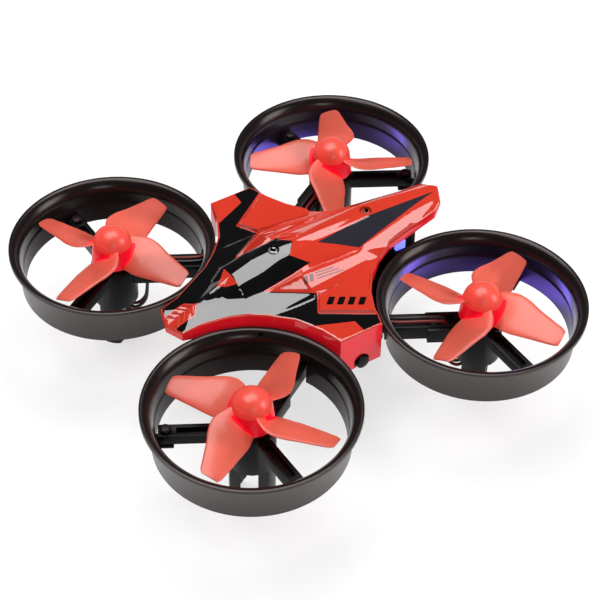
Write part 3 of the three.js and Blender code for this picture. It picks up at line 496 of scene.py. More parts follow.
# Height of the skirt's lower edge under each corner of the rim, from the nose to the tail.
RIM = {
    "noseTip": 6.5, "noseCorner": 6.9, "noseEdge": 6.2, "frontA": 5.6, "frontB": 5.6, "frontC": 5.6,
    "armA": 5.6, "armB": 5.6, "endFront": 2.5, "endRear": 2.5, "rearA": 3.6, "rearB": 5.6, "rearC": 6.2,
    "rearD": 7.4, "tailA": 9.2, "tailB": 9.5, "tailC": 9.5, "tailD": 10.3, "tailE": 11.8, "tailTip": 12.6,
}
SHELL = 1.0                      # thickness
SHOULDER = [(-3.6, 12.95), (-1.5, 9.6), (8.2, 8.3), (9.2, 9.7), (6.7, 13.0), (4.9, 16.6), (4.4, 18.1)]
SHOULDER_TOP, SHOULDER_CHAMFER = 10.75, 0.22
FRONT_EDGE, FRONT_SLOPE = [SHOULDER[0], SHOULDER[-1]], 0.6      # a soft edge of the shoulder with y > 0
TAB = [(-2.75, 2.15), (-2.2, 2.7), (0.6, 1.85), (1.5, 0.75), (0.9, 0.35), (-0.9, 1.15)]
TAB_RISE, TAB_CHAMFER = 0.3, 0.2
CHEVRON_HALF, CHEVRON_RISE, CHEVRON_CHAMFER = 1.7, 0.32, 0.14
CROWN = 15.0                     # highest point of the canopy
SCREWS_X = (-4.4, 14.5)
HEAD_SEAT, SEAT_RADIUS, SEAT_STEP = 14.0, 1.0, 0.08      # height, radius and edge width of a screw's seat
BOSS_RADIUS, BOSS_LOW, BOSS_HIGH = 2.3, 9.2, 13.7
SCREW_HOLE, LUG_HOLE = 0.75, 1.5
LUG_AT = (20.65, 3.6)            # on both sides, as distance from the middle and height
ROUNDING = 0.28                  # radius of the rim's upper edge
CREASE = 0.3                     # half width over which a crease between facets is rounded
PITCH = 0.45                     # spacing of the canopy's mesh points
ROW_PITCH = PITCH * 0.87
LONG_PITCH = 5                   # spacing along edges that stay straight
FIELD_NOSE, FIELD_TAIL = -26.0, 30.5
FIELD_HALF = 48                  # points of a row on each side of the middle
FIELD_GAP, CREASE_GAP, SAME_POINT = 0.27, 0.12, 0.02     # nearer than this, a point isn't added
RIM_STEPS = (0.05, 0.14, ROUNDING)


def mirrored(outline):
    return [(x, -y) for x, y in reversed(outline)]


def plan(*keys):
    return [TOP[k][:2] for k in keys]


def inside(points, outline):
    """Which points lie in a closed outline."""
    x, y = points[:, 0], points[:, 1]
    odd = np.zeros(len(points), bool)
    for (x0, y0), (x1, y1) in zip(outline, outline[1:] + outline[:1]):
        crosses = (y0 > y) != (y1 > y)
        if y1 != y0:
            odd ^= crosses & (x < (x1 - x0) * (y - y0) / (y1 - y0) + x0)
    return odd


def edge_distance(points, outline):
    """Distance of each point from a closed outline."""
    best = np.full(len(points), 1e9)
    for a, b in zip(outline, outline[1:] + outline[:1]):
        a, b = np.array(a, float), np.array(b, float)
        along = b - a
        t = np.clip(((points - a) @ along) / (along @ along), 0, 1)
        best = np.minimum(best, np.hypot(*(points - a - t[:, None] * along).T))
    return best


def facet_triangles():
    found = []
    for face in FACES:
        corners = [Vector(TOP[k]) for k in face.split()]
        flat = [Vector((c.x, c.y, 0)) for c in corners]
        for trio in tessellate_polygon([flat]):
            found.append([corners[i] for i in trio])
    return np.array(found, float)


TRIANGLES = facet_triangles()


def facet_height(points):
    """Height of the flat-faceted top over each point of the plan."""
    p = np.column_stack([points[:, 0], np.abs(points[:, 1])])
    best, height = np.full(len(p), -1e9), np.zeros(len(p))
    for a, b, c in TRIANGLES:
        area = (b[0] - a[0]) * (c[1] - a[1]) - (c[0] - a[0]) * (b[1] - a[1])
        u = ((p[:, 0] - a[0]) * (c[1] - a[1]) - (c[0] - a[0]) * (p[:, 1] - a[1])) / area
        v = ((b[0] - a[0]) * (p[:, 1] - a[1]) - (p[:, 0] - a[0]) * (b[1] - a[1])) / area
        fit = np.minimum(np.minimum(u, v), 1 - u - v)
        better = fit > best
        best[better] = fit[better]
        height[better] = (a[2] + u * (b[2] - a[2]) + v * (c[2] - a[2]))[better]
    return height


HALF_RIM = plan(*RIM)
OUTLINE = (HALF_RIM + mirrored(HALF_RIM[1:-1]))[::-1]      # anticlockwise


def resample(outline, pitch, closed=True):
    """The outline with extra points, no further apart than the pitch."""
    made = []
    ends = zip(outline, outline[1:] + outline[:1]) if closed else zip(outline, outline[1:])
    for (x0, y0), (x1, y1) in ends:
        steps = max(1, math.ceil(math.hypot(x1 - x0, y1 - y0) / pitch))
        made += [(x0 + (x1 - x0) * i / steps, y0 + (y1 - y0) * i / steps) for i in range(steps)]
    return made if closed else made + [outline[-1]]


def inset(outline, distance):
    """An anticlockwise outline moved inwards, its sharp corners by no more than twice the distance."""
    count, made = len(outline), []
    for i, (x, y) in enumerate(outline):
        before = (Vector((x, y)) - Vector(outline[i - 1])).normalized()
        after = (Vector(outline[(i + 1) % count]) - Vector((x, y))).normalized()
        middle = (Vector((-before.y, before.x)) + Vector((-after.y, after.x))).normalized()
        reach = distance / max(middle.dot(Vector((-after.y, after.x))), 0.5)
        made.append((x + middle.x * reach, y + middle.y * reach))
    return made


def anticlockwise(outline):
    area = sum(a[0] * b[1] - b[0] * a[1] for a, b in zip(outline, outline[1:] + outline[:1]))
    return outline if area > 0 else outline[::-1]


# Outlines of the paint.
BLACK_SIDE = [
    (-24.5, CHEVRON_HALF), (-21.0, 1.8), (-19.4, 0), *plan("cabinTip", "cabinA", "cabinB", "cabinC"),
    *plan("cabinD", "browD", "sillE", "sillD", "sillC", "hipA", "footA"),
    (-1.75, 9.6), (-3.85, 12.95), (4.2, 18.3), (5.2, 19.2), (4.6, 21.5), (0.45, 21.5), (0.3, 17.8),
    (-7.5, 14.5), (-9.5, 12.5), (-12.5, 9.8), (-15.5, 7.2), (-18.5, 5.6), (-24.5, 4.6),
]
# A dark panel on the -y side of the tail; its slate grey is a painted reflection.
TAIL_FLASH = [(3.3, -1.85), (28.6, -0.95), (9.7, -5.25)]
NOSE_FLASH = [(-15.6, 0), (-12.75, -2.2), (-12.75, 2.2)]
CHEVRON_FIRST, CHEVRON_PITCH, CHEVRON_WIDTH, CHEVRON_SLOPE = -19.75, 1.05, 0.62, 0.75
CHEVRON_REACH = CHEVRON_HALF - 0.15
LINES_FROM, LINES_TO, LINES_LOW, LINES_HIGH = -0.3, 5.2, -7.45, -7.3
LINE_PITCH, LINE_SHORTER = 0.36, 0.9


def chevron(tip):
    end = tip - CHEVRON_SLOPE * CHEVRON_REACH
    return [
        (tip, 0), (end, CHEVRON_REACH), (end - CHEVRON_WIDTH, CHEVRON_REACH), (tip - CHEVRON_WIDTH, 0),
        (end - CHEVRON_WIDTH, -CHEVRON_REACH), (end, -CHEVRON_REACH),
    ]


CHEVRONS = [chevron(CHEVRON_FIRST - CHEVRON_PITCH * i) for i in range(4)]


def slanted(start, along, count, pitch, width, tall, lean):
    """A row of slanted bars."""
    u = Vector(along).normalized()
    v = Vector((-u.y, u.x))
    bars = []
    for i in range(count):
        left, right = i * pitch, i * pitch + width
        corners = [(left, 0), (right, 0), (right + lean, tall), (left + lean, tall)]
        bars.append([tuple(Vector(start) + u * a + v * b) for a, b in corners])
    return bars


def thin_line(i):
    """One of the thin lines beside the bars, each shorter than the one before it."""
    end, low, high = LINES_TO - LINE_SHORTER * i, LINES_LOW + LINE_PITCH * i, LINES_HIGH + LINE_PITCH * i
    return [(LINES_FROM, low), (end, low), (end, high), (LINES_FROM, high)]


SHOULDER_BARS = slanted((-1.75, -12.35), (0.84, -0.54), 4, pitch=1.75, width=1.05, tall=1.9, lean=0.5)
SIDE_BARS = slanted((-2.9, -7.5), (1, 0), 2, pitch=1.1, width=0.8, tall=0.9, lean=0.35)
SIDE_MARKS = SIDE_BARS + [thin_line(i) for i in range(3)]


def circle(x, radius):
    turns = [2 * math.pi * i / 40 for i in range(40)]
    return [(x + radius * math.cos(turn), radius * math.sin(turn)) for turn in turns]


def raised():
    """What stands above the facets, as [outline, rise, chamfer]. The shoulders are level and have no rise."""
    shoulders = [(anticlockwise(side), None, SHOULDER_CHAMFER) for side in (SHOULDER, mirrored(SHOULDER))]
    chevrons = [(anticlockwise(outline), CHEVRON_RISE, CHEVRON_CHAMFER) for outline in CHEVRONS]
    return shoulders + chevrons + [(anticlockwise(TAB), TAB_RISE, TAB_CHAMFER)]


RAISED = raised()


def top_height(points):
    """Height of the finished top: rounded creases, raised panels, screw seats and a rounded rim."""
    ring = [(0, 0)] + [(CREASE * r * math.cos(t), CREASE * r * math.sin(t))
                       for r in (0.5, 1.0) for t in np.linspace(0, 2 * math.pi, 8, endpoint=False)]
    height = sum(facet_height(points + np.array(step)) for step in ring) / len(ring)
    for outline, rise, chamfer in RAISED:
        within = inside(points, outline)
        share = np.clip(edge_distance(points, outline) / chamfer, 0, 1)
        if rise is None:
            share = np.minimum(share, edge_distance(points, FRONT_EDGE) / FRONT_SLOPE)
        lift = np.maximum(SHOULDER_TOP - height, 0) if rise is None else rise
        height = np.minimum(height + np.where(within, lift * share, 0), CROWN)
    for x in SCREWS_X:
        radius = np.hypot(points[:, 0] - x, points[:, 1])
        share = np.clip((SEAT_RADIUS + SEAT_STEP - radius) / SEAT_STEP, 0, 1)
        height = height * (1 - share) + HEAD_SEAT * share
    near = np.clip(ROUNDING - edge_distance(points, OUTLINE), 0, ROUNDING)
    return height - (ROUNDING - np.sqrt(ROUNDING ** 2 - near ** 2))


class Cloud:
    """Plan points and fixed edges for the triangulation, kept a set distance apart."""

    def __init__(self):
        self.points, self.edges, self.cells = [], [], {}

    def near(self, x, y, gap):
        i, j = math.floor(x / PITCH), math.floor(y / PITCH)
        for a in (i - 1, i, i + 1):
            for b in (j - 1, j, j + 1):
                for k in self.cells.get((a, b), ()):
                    if math.hypot(self.points[k][0] - x, self.points[k][1] - y) < gap:
                        return k
        return None

    def add(self, x, y, gap=0.0):
        found = self.near(x, y, gap)
        if found is not None:
            return found
        self.points.append((x, y))
        self.cells.setdefault((math.floor(x / PITCH), math.floor(y / PITCH)), []).append(len(self.points) - 1)
        return len(self.points) - 1

    def fix(self, outline, pitch=PITCH, closed=True):
        keys = [self.add(x, y, SAME_POINT) for x, y in resample(outline, pitch, closed)]
        pairs = zip(keys, keys[1:] + keys[:1]) if closed else zip(keys, keys[1:])
        self.edges += [(a, b) for a, b in pairs if a != b]


def triangulate(cloud, outline):
    """Triangles inside the outline, as (points, faces)."""
    flat = [Vector(p) for p in cloud.points]
    points, _, faces, *_ = delaunay_2d_cdt(flat, cloud.edges, [], 0, 1e-5)
    points = np.array([tuple(p) for p in points], float)
    faces = np.array(faces, int)
    middle = points[faces].mean(axis=1)
    faces = faces[inside(middle, outline)]
    a, b, c = points[faces[:, 0]], points[faces[:, 1]], points[faces[:, 2]]
    area = (b[:, 0] - a[:, 0]) * (c[:, 1] - a[:, 1]) - (c[:, 0] - a[:, 0]) * (b[:, 1] - a[:, 1])
    faces[area < 0] = faces[area < 0][:, ::-1]
    return points, faces


def closed_block(name, points, faces, top, bottom, materials, material_of, wall_material):
    """A solid between two height fields over the same triangles, with walls round the open edges."""
    used = np.unique(faces)
    index = {k: i for i, k in enumerate(used)}
    count = len(used)
    corners = [(*points[k], top[k]) for k in used] + [(*points[k], bottom[k]) for k in used]
    upper = [[index[k] for k in face] for face in faces]
    lower = [[index[k] + count for k in face[::-1]] for face in faces]
    sides = {(f[i], f[(i + 1) % 3]) for f in upper for i in range(3)}
    walls = [[b, a, a + count, b + count] for a, b in sides if (b, a) not in sides]
    kinds = list(material_of) + [wall_material] * (len(lower) + len(walls))
    return to_mesh(name, corners, upper + lower + walls, kinds, materials)


def canopy_cloud():
    """Points along every edge of the rim, panels, paint and creases, and a field of points between them."""
    cloud = Cloud()
    cloud.fix(OUTLINE)
    for distance in RIM_STEPS:
        cloud.fix(inset(resample(OUTLINE, PITCH), distance), PITCH * 2)
    for outline, _, chamfer in RAISED:
        cloud.fix(outline)
        cloud.fix(inset(outline, chamfer))
    for x in SCREWS_X:
        cloud.fix(circle(x, SEAT_RADIUS), LONG_PITCH)
        cloud.fix(circle(x, SEAT_RADIUS + SEAT_STEP), LONG_PITCH)
    for outline in PAINT_EDGES:
        cloud.fix(outline)
    for face in FACES:
        corners = plan(*face.split())
        for (x0, y0), (x1, y1) in zip(corners, corners[1:] + corners[:1]):
            length = math.hypot(x1 - x0, y1 - y0)
            nx, ny = (y1 - y0) / length, (x0 - x1) / length
            steps = math.ceil(length / PITCH)
            for i in range(steps + 1):
                x, y = x0 + (x1 - x0) * i / steps, y0 + (y1 - y0) * i / steps
                for offset in (0, CREASE / 2, -CREASE / 2, CREASE, -CREASE):
                    for side in (1, -1):
                        cloud.add(x + nx * offset, side * (y + ny * offset), CREASE_GAP)
    x, row = FIELD_NOSE, 0
    while x < FIELD_TAIL:
        for j in range(-FIELD_HALF, FIELD_HALF + 1):
            cloud.add(x, (j + 0.5 * (row % 2)) * PITCH, FIELD_GAP)
        x += ROW_PITCH
        row += 1
    return cloud


PAINT_EDGES = [BLACK_SIDE, mirrored(BLACK_SIDE), TAIL_FLASH, NOSE_FLASH, *SHOULDER_BARS, *SIDE_MARKS]
PAINTS = [CANOPY_RED, CANOPY_BLACK, CANOPY_SKIRT_SHADE_GLOW, CANOPY_MARK, CANOPY_SLATE_SHEEN]
# The skirt paint is painted shade and a painted glow on the canopy's side walls.
RED, BLACK, SKIRT_SHADE_GLOW, DARK_RED, SLATE_SHEEN = range(5)


def paint(middle):
    """Index of the paint at each point of the plan."""
    kind = np.zeros(len(middle), int)
    clear = edge_distance(middle, OUTLINE) > ROUNDING
    # The tail flash takes the slate paint: black with a painted reflection.
    for outline, index in ((BLACK_SIDE, BLACK), (mirrored(BLACK_SIDE), BLACK), (TAIL_FLASH, SLATE_SHEEN)):
        kind[inside(middle, outline) & clear] = index
    kind[inside(middle, NOSE_FLASH)] = RED
    for outline in SHOULDER_BARS:
        kind[inside(middle, outline)] = BLACK
    for outline in SIDE_MARKS:
        kind[inside(middle, outline)] = DARK_RED
    return kind


def skirt_height(points):
    """Height of the skirt's lower edge at each point, taken along the rim."""
    low = np.zeros(len(points))
    best = np.full(len(points), 1e9)
    p = np.column_stack([points[:, 0], np.abs(points[:, 1])])
    names = list(RIM)
    for first, second in zip(names, names[1:]):
        a, b = np.array(TOP[first][:2]), np.array(TOP[second][:2])
        along = b - a
        t = np.clip(((p - a) @ along) / (along @ along), 0, 1)
        away = np.hypot(*(p - a - t[:, None] * along).T)
        better = away < best - 1e-9
        best[better] = away[better]
        low[better] = (RIM[first] + t * (RIM[second] - RIM[first]))[better]
    return low


def canopy_core():
    """The hollow under the shell."""
    cloud = Cloud()
    outline = inset(OUTLINE, SHELL)
    cloud.fix(outline, LONG_PITCH)
    for face in FACES:
        corners = plan(*face.split())
        for a, b in zip(corners, corners[1:] + corners[:1]):
            cloud.fix([a, b], LONG_PITCH, closed=False)
            cloud.fix([(a[0], -a[1]), (b[0], -b[1])], LONG_PITCH, closed=False)
    points, faces = triangulate(cloud, outline)
    ceiling = facet_height(points) - SHELL + DECK
    floor = np.full(len(points), DECK - 4.0)
    return closed_block("core", points, faces, ceiling, floor, [CANOPY_RED], [RED] * len(faces), RED)


def canopy():
    points, faces = triangulate(canopy_cloud(), OUTLINE)
    top, bottom = top_height(points) + DECK, skirt_height(points) + DECK
    paints = paint(points[faces].mean(axis=1))
    # The side walls take the skirt paint: painted shade and a painted glow.
    shell = closed_block("canopy_shell", points, faces, top, bottom, PAINTS, paints, SKIRT_SHADE_GLOW)
    combine(shell, canopy_core(), "DIFFERENCE")
    # The cutting tools reach well past the shell.
    for x in SCREWS_X:
        combine(shell, cylinder(BOSS_RADIUS, DECK + BOSS_LOW, DECK + BOSS_HIGH, 40, (x, 0)), "UNION")
        combine(shell, cylinder(SCREW_HOLE, DECK + 5, DECK + 20, 32, (x, 0)), "DIFFERENCE")
    for side in (1, -1):
        hole = cylinder(LUG_HOLE, -2.0, 2.0, 40)
        hole.data.transform(Matrix.Rotation(math.pi / 2, 4, "X"))
        hole.data.transform(Matrix.Translation(Vector((0, side * LUG_AT[0], DECK + LUG_AT[1])) * MM))
        combine(shell, hole, "DIFFERENCE")
    place(soften(shell, 32), "canopy")


# ---------- ducts ----------
# The wall's inner side upwards, over the flared lip, and down its outer side.
DUCT_PROFILE = [
    (15.58, 0), (15.5, 0.08), (15.58, 3.5), (15.62, 3.8), (15.74, 4.02), (15.8, 4.2), (15.9, 5.6),
    (15.98, 6.1), (16.14, 6.6), (16.4, 7.12), (16.72, 7.5), (17.1, 7.82), (17.3, 7.93), (17.5, 7.98),
    (17.86, 8.0), (17.96, 7.96), (18.0, 7.86), (18.0, 7.3), (17.94, 7.18), (17.75, 7.02), (17.3, 6.86),
    (16.9, 6.7), (16.72, 6.58), (16.6, 6.38), (16.32, 0.08), (16.22, 0.0),
]
WALL_INNER, WALL_TOP = 15.4, 4.1
WIRE_DOOR = 4.6                  # height of the opening over a wide arm
WIDE_ARM_HALF, DOOR_GAP, DOOR_INNER, DOOR_OUTER = 1.7, 0.3, 13, 18.5
PIN_PLACE = 13.9
SHELF_INNER, SHELF_OUTER, SHELF_HALF, SHELF_THICK, SHELF_EDGE = PIN_PLACE - 1.3, 15.9, 1.5, 0.5, 0.12
PIN_PROFILE = [
    (0, 0.2), (0.45, 0.2), (0.45, 3.0), (0.85, 3.0), (0.95, 3.08), (0.92, 3.28), (0.72, 3.45), (0.4, 3.5),
    (0, 3.46),
]
DIMPLE_PLACE, DIMPLE_ANGLE, DIMPLE_RADIUS, DIMPLE_FLOOR = 16.55, 53, 0.45, 6.95
OUTSIDE, WALL_SHADED, LIP_SHADED = range(3)        # a ring's materials; the wall and lip inside are darker, which is painted shade
FACING_OUT = 0.3                     # from this share of the radial direction, a face counts as outside


def colour_duct(ring, centre):
    """The straight wall inside and the glossy lip take darker copies of the duct's material: painted shade
    inside the ring.
    """
    for face in ring.data.polygons:
        radial = Vector((face.center.x / MM - centre[0], face.center.y / MM - centre[1], 0))
        if face.normal.dot(radial.normalized()) > FACING_OUT and radial.length > WALL_INNER:
            face.material_index = OUTSIDE
        else:
            face.material_index = LIP_SHADED if face.center.z > (DECK + WALL_TOP) * MM else WALL_SHADED


def duct(name, rotor):
    centre = rotor_centre(rotor)
    ring = turned("duct_ring_" + name, on_deck(DUCT_PROFILE), 144, centre, [DUCT, DUCT_WALL_SHADED, DUCT_LIP_SHADED])
    door_half = WIDE_ARM_HALF + DOOR_GAP
    low, high = (DOOR_INNER, -door_half, DECK - 1), (DOOR_OUTER, door_half, DECK + WIRE_DOOR)
    combine(ring, brick(low, high, 0, rotor["arm"], centre), "DIFFERENCE")
    for direction in rotor["spokes"]:
        low, high = (SHELF_INNER, -SHELF_HALF, DECK), (SHELF_OUTER, SHELF_HALF, DECK + SHELF_THICK)
        combine(ring, brick(low, high, SHELF_EDGE, direction, centre), "UNION")
        spot = Vector(centre) + Vector(polar(PIN_PLACE, direction))
        combine(ring, turned("pin", on_deck(PIN_PROFILE), 32, spot), "UNION")
    if name == "front_left":
        spot = Vector(centre) + Vector(polar(DIMPLE_PLACE, DIMPLE_ANGLE))
        combine(ring, cylinder(DIMPLE_RADIUS, DECK + DIMPLE_FLOOR, DECK + 9, 24, spot), "DIFFERENCE")
    colour_duct(ring, centre)
    place(soften(ring, 40), "duct_" + name)
    if name.startswith("rear"):
        GLOW_REACH.objects.link(ring)


# ---------- propellers ----------
# Stations of a blade: radius, angles of the leading and trailing edges, heights of the same.
BLADE_PLAN = [
    (3.2, 53.5, -34.0, 8.45, 4.9), (5.0, 48.0, -26.5, 8.22, 4.9), (6.5, 42.0, -21.5, 8.0, 4.9),
    (8.0, 32.0, -17.0, 7.7, 5.1), (10.0, 19.5, -12.5, 7.25, 5.3), (12.5, 11.5, -9.0, 6.9, 5.5),
    (15.0, 6.4, -6.4, 6.63, 5.69),
]
BLADE_THICK, BLADE_THINNING = 0.6, 0.45      # thickness at the root, and the share lost at the tip
CAMBER, FLAT_RADIUS = 0.5, 20                # camber at the axis, and the radius where it would be zero
TIP_LENGTH, TIP_TRIM = 0.5, 0.07             # length of the rounded tip, and the share trimmed off each edge
SPAN_POINTS, CHORD_STEPS = 25, 14
HUB_PROFILE = [
    (0, 11.0), (0.5, 10.98), (1.1, 10.88), (1.7, 10.66), (2.25, 10.3), (2.7, 9.85), (3.05, 9.3), (3.28, 8.7),
    (3.42, 8.1), (3.5, 7.6), (3.62, 6.4), (3.74, 5.0), (3.8, 4.52), (3.74, 4.42), (3.66, 4.4), (3.38, 4.4),
    (3.3, 4.48), (3.3, 7.4), (0.7, 7.4), (0.7, 9.95), (0, 9.95),
]
HUB_BORE, BORE_TOP = 3.3, 7.4
SKIRT_RADIUS, SKIRT_TOP = 3.9, 8.0           # the part of the hub that is a deeper red, which is painted shade under the blades, with a painted glow


def spline(values, count):
    """Catmull-Rom samples through rows of values."""
    rows = np.array(values, float)
    padded = np.vstack([2 * rows[0] - rows[1], rows, 2 * rows[-1] - rows[-2]])
    made = []
    for s in np.linspace(0, len(rows) - 1, count):
        k = min(int(s), len(rows) - 2)
        t = s - k
        p0, p1, p2, p3 = padded[k:k + 4]
        made.append(0.5 * (2 * p1 + (p2 - p0) * t + (2 * p0 - 5 * p1 + 4 * p2 - p3) * t ** 2
                           + (3 * p1 - p0 - 3 * p2 + p3) * t ** 3))
    return np.array(made)


def blade(spin):
    """Points and faces of one blade: a cambered, twisted plate with rounded edges and tip corners."""
    stations = spline(BLADE_PLAN, SPAN_POINTS)
    shares = (1 - np.cos(np.linspace(0, math.pi, CHORD_STEPS + 1))) / 2
    points, faces = [], []
    last = stations[-1][0]
    ring = 2 * CHORD_STEPS
    for radius, lead, trail, high, low in stations:
        round_off = max(0.0, (radius - (last - TIP_LENGTH)) / TIP_LENGTH)
        trim = TIP_TRIM * round_off ** 2.5
        lead, trail = lead - (lead - trail) * trim, trail + (lead - trail) * trim
        thick = BLADE_THICK / 2 * (1.0 - BLADE_THINNING * (radius / last) ** 3) * (1 - 0.5 * round_off ** 4)
        order = [(t, 1) for t in shares] + [(t, -1) for t in shares[-2:0:-1]]
        for t, face in order:
            angle = spin * (trail + (lead - trail) * t)
            x, y = polar(radius, angle)
            camber = CAMBER * math.sin(math.pi * t) * (1 - radius / FLAT_RADIUS)
            edge = max(0.0, 1 - abs(2 * t - 1) ** 6) ** 0.5
            points.append((x, y, low + (high - low) * t + camber + face * thick * edge))
    for s in range(len(stations) - 1):
        for i in range(ring):
            j = (i + 1) % ring
            faces.append([s * ring + i, s * ring + j, (s + 1) * ring + j, (s + 1) * ring + i])
    end = (len(stations) - 1) * ring
    for start in (0, end):
        for i in range(CHORD_STEPS):
            a, b = start + i, start + i + 1
            c, d = start + (ring - i - 1) % ring, start + (ring - i) % ring
            corners = [a, b, c, d]
            face = [k for n, k in enumerate(corners) if k not in corners[:n]]
            faces.append(face if start else face[::-1])
    return points, faces


def propeller(name, rotor):
    centre = rotor_centre(rotor)
    hub = turned("rotor_blades_" + name, on_deck(HUB_PROFILE), 96, centre, [CORAL, HUB_RED_SHADE_GLOW])
    for i in range(4):
        points, faces = blade(rotor["spin"])
        wing = outward(to_mesh("wing", points, faces, materials=[CORAL, HUB_RED_SHADE_GLOW]))
        wing.data.transform(Matrix.Rotation(math.radians(rotor["phase"] + 90 * i), 4, "Z"))
        wing.data.transform(Matrix.Translation(Vector((*centre, DECK)) * MM))
        combine(hub, wing, "UNION")
    combine(hub, cylinder(HUB_BORE, DECK + 3, DECK + BORE_TOP, 96, centre), "DIFFERENCE")
    # The lower hub takes the deeper red, with its painted shade and painted glow.
    for face in hub.data.polygons:
        away = math.hypot(face.center.x - centre[0] * MM, face.center.y - centre[1] * MM)
        face.material_index = int(away < SKIRT_RADIUS * MM and face.center.z < (DECK + SKIRT_TOP) * MM)
    place(soften(hub, 50), "propeller_" + name)


# ---------- motors and their wires ----------
MOTOR_PROFILE = [
    (0, -3.4), (0.9, -3.4), (1.0, -3.3), (1.5, -3.3), (1.6, -3.4), (2.5, -3.4), (2.6, -3.34), (2.7, -3.2),
    (2.85, -3.15), (2.97, -3.0), (3.0, -2.9), (3.0, -2.3), (2.94, -2.2), (2.94, -2.0), (3.0, -1.9),
    (3.0, 6.7), (2.94, 6.88), (2.8, 7.0), (1.3, 7.0), (1.2, 6.9), (0.7, 6.9), (0.7, 3.5), (0, 3.5),
]
END_CAP_TOP, END_CAP_RADIUS = -3.0, 2.65
SHAFT_PROFILE = [(0, 4.0), (0.34, 4.0), (0.4, 4.06), (0.4, 9.6), (0.34, 9.7), (0, 9.7)]


def motor(name, rotor):
    centre = rotor_centre(rotor)
    can = turned("motor_can_" + name, on_deck(MOTOR_PROFILE), 64, centre, [MOTOR, MOTOR_CAP])
    for face in can.data.polygons:
        away = math.hypot(face.center.x - centre[0] * MM, face.center.y - centre[1] * MM)
        face.material_index = int(face.center.z < (DECK + END_CAP_TOP) * MM and away < END_CAP_RADIUS * MM)
    place(soften(can, 40), "motor_" + name)
    shaft = turned("motor_shaft_" + name, on_deck(SHAFT_PROFILE), 24, centre, [STEEL])
    place(soften(shaft, 40), "shaft_" + name)


WIRE_RADIUS, WIRE_SAMPLES, WIRE_SIDES = 0.3, 70, 14
# A motor wire's route: [distance from the rotor along the arm, height], then [x, y, height] to the board.
WIRE_ALONG = [
    (0.8, -3.9), (1.5, -6.0), (3.4, -7.2), (5.2, -5.4), (5.7, -1.5), (5.7, 1.8), (6.1, 3.2), (7.4, 3.5),
    (10.5, 3.5), (14.5, 3.5), (17.0, 4.3),
]
WIRE_HOME = [(5.6, 13.2, 5.3), (5.6, 10.8, 6.8), (6.4, 8.9, 8.4), (6.9, 6.7, 8.5)]
HOME_SPREAD = 1.1                # the lane's growth on the way to the board


def tube(name, route, material):
    """A round wire along a smooth route."""
    path = spline(route, WIRE_SAMPLES)
    points, faces = [], []
    side = None
    for i, here in enumerate(path):
        ahead = Vector(path[min(i + 1, WIRE_SAMPLES - 1)] - path[max(i - 1, 0)]).normalized()
        side = ahead.orthogonal().normalized() if i == 0 else (side - ahead * side.dot(ahead)).normalized()
        other = ahead.cross(side)
        for k in range(WIRE_SIDES):
            turn = 2 * math.pi * k / WIRE_SIDES
            spoke = side * math.cos(turn) + other * math.sin(turn)
            points.append(tuple(Vector(here) + spoke * WIRE_RADIUS))
    for start in range(0, (WIRE_SAMPLES - 1) * WIRE_SIDES, WIRE_SIDES):
        for k in range(WIRE_SIDES):
            j = (k + 1) % WIRE_SIDES
            faces.append([start + k, start + j, start + WIRE_SIDES + j, start + WIRE_SIDES + k])
    faces.append(list(range(WIRE_SIDES))[::-1])
    faces.append(list(range((WIRE_SAMPLES - 1) * WIRE_SIDES, WIRE_SAMPLES * WIRE_SIDES)))
    return soften(to_mesh(name, points, faces, materials=[material]), 60)


def motor_wire(kind, lane, name, rotor, material):
    """One of a motor's two wires; the lane is its distance from the arm's middle."""
    cx, cy = rotor_centre(rotor)
    sx, sy = rotor["at"]
    ox, oy = polar(lane, rotor["arm"] + 90)
    route = []
    for distance, z in WIRE_ALONG:
        x, y = polar(distance, rotor["arm"])
        route.append((cx + x + ox, cy + y + oy, z + DECK))
    shift = lane * HOME_SPREAD * sx * sy
    route += [(sx * (x + shift), sy * y, z + DECK) for x, y, z in WIRE_HOME]
    node = f"wire_{kind}_{name}"
    place(tube("lead_" + node, route, material), node)


# ---------- small parts ----------
PAD_POINTS, PAD_RINGS = 48, 10
PAD_CORNER, PAD_CROWN = 0.35, 0.45           # exponent of the outline, share of thickness lost at the edge


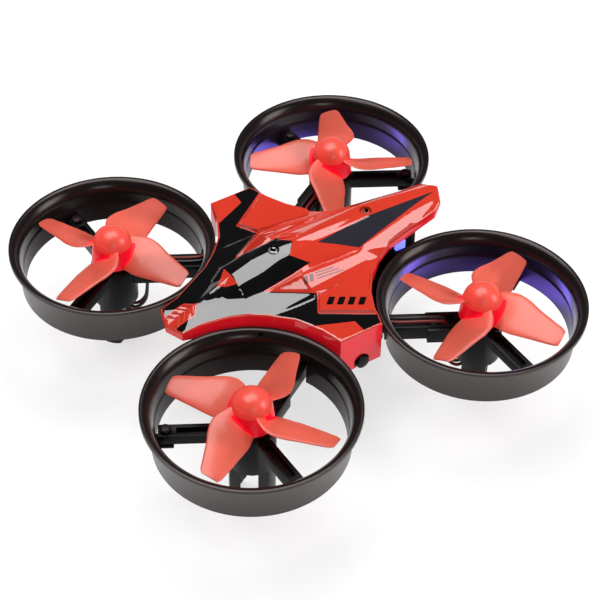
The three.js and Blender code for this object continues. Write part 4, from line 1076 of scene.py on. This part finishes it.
def pad():
    """The foam pad under the battery: a thin crowned slab with rounded corners."""
    low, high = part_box("battery_pad")
    middle, half = (low + high) / 2, (high - low) / 2
    points, faces = [], []
    for face in (1, -1):
        for ring in range(PAD_RINGS + 1):
            share = ring / PAD_RINGS
            for i in range(PAD_POINTS):
                turn = 2 * math.pi * i / PAD_POINTS
                c, s = math.cos(turn), math.sin(turn)
                x = math.copysign(abs(c) ** PAD_CORNER, c) * half.x * share
                y = math.copysign(abs(s) ** PAD_CORNER, s) * half.y * share
                z = face * half.z * (1 - PAD_CROWN * share ** 6)
                points.append(((middle.x + x) / MM, (middle.y + y) / MM, (middle.z + z) / MM))
    size = (PAD_RINGS + 1) * PAD_POINTS
    rims = [side + ring * PAD_POINTS for side in (0, size) for ring in range(PAD_RINGS)]
    strips = [(rim, rim + PAD_POINTS) for rim in rims] + [(size - PAD_POINTS, 2 * size - PAD_POINTS)]
    for first, second in strips:
        for i in range(PAD_POINTS):
            j = (i + 1) % PAD_POINTS
            faces.append([first + i, first + j, second + j, second + i])
    piece = to_mesh("battery_foam", points, faces, materials=[FOAM])
    mesh = bmesh.new()
    mesh.from_mesh(piece.data)
    bmesh.ops.remove_doubles(mesh, verts=mesh.verts, dist=1e-7)
    mesh.to_mesh(piece.data)
    mesh.free()
    place(soften(outward(piece), 50), "battery_pad")


FLOOR_HALF = 3000


def stage():
    corners = [(x * FLOOR_HALF, y * FLOOR_HALF, 0) for x, y in ((-1, -1), (1, -1), (1, 1), (-1, 1))]
    to_mesh("floor", corners, [[0, 1, 2, 3]], materials=[FLOOR_PALE])


add_camera()
add_lights()
add_world()
stage()
canopy()
for name, rotor in ROTORS.items():
    duct(name, rotor)
    propeller(name, rotor)
    motor(name, rotor)
    refine("motor_mount_" + name, FRAME, 0.12)
    motor_wire("live", 0.5, name, rotor, WIRE_RED)
    motor_wire("return", -0.5, name, rotor, WIRE_BLACK)
    refine("arm_screw_" + name, STEEL, 0.06)
pad()
for node, slot, material, bevel in [
    ("chassis_tray", "frame_black", FRAME, 0.12), ("battery_cover", "frame_black", FRAME, 0.15),
    ("battery_cell", "battery_foil", FOIL, 0.3), ("circuit_board", "board_green", BOARD, 0.05),
    ("flight_chip", "chip_black", CHIP, 0.1), ("radio_chip", "chip_black", CHIP, 0.1),
    ("motion_sensor", "chip_black", CHIP, 0.1), ("battery_plug", "connector_white", CONNECTOR, 0.15),
    ("switch_body", "steel", STEEL, 0.1), ("switch_knob", "chip_black", CHIP, 0.12),
    ("charging_socket", "connector_white", CONNECTOR, 0.1),
    ("tail_lamp_left", "lamp_blue", LENS_BLUE, 0.2), ("tail_lamp_right", "lamp_blue", LENS_BLUE, 0.2),
    ("front_lamp_left", "lamp_white", LENS_WHITE, 0.2), ("front_lamp_right", "lamp_white", LENS_WHITE, 0.2),
    ("canopy_screw_front", "steel", SCREW, 0.06), ("canopy_screw_rear", "steel", SCREW_RED, 0.06),
    ("cover_screw", "steel", STEEL, 0.06), ("aerial_wire", "wire_grey", WIRE_GREY, 0.0),
    ("battery_lead_red", "wire_red", WIRE_RED, 0.0), ("battery_lead_black", "wire_black", WIRE_BLACK, 0.0),
]:
    refine(node, material, bevel)
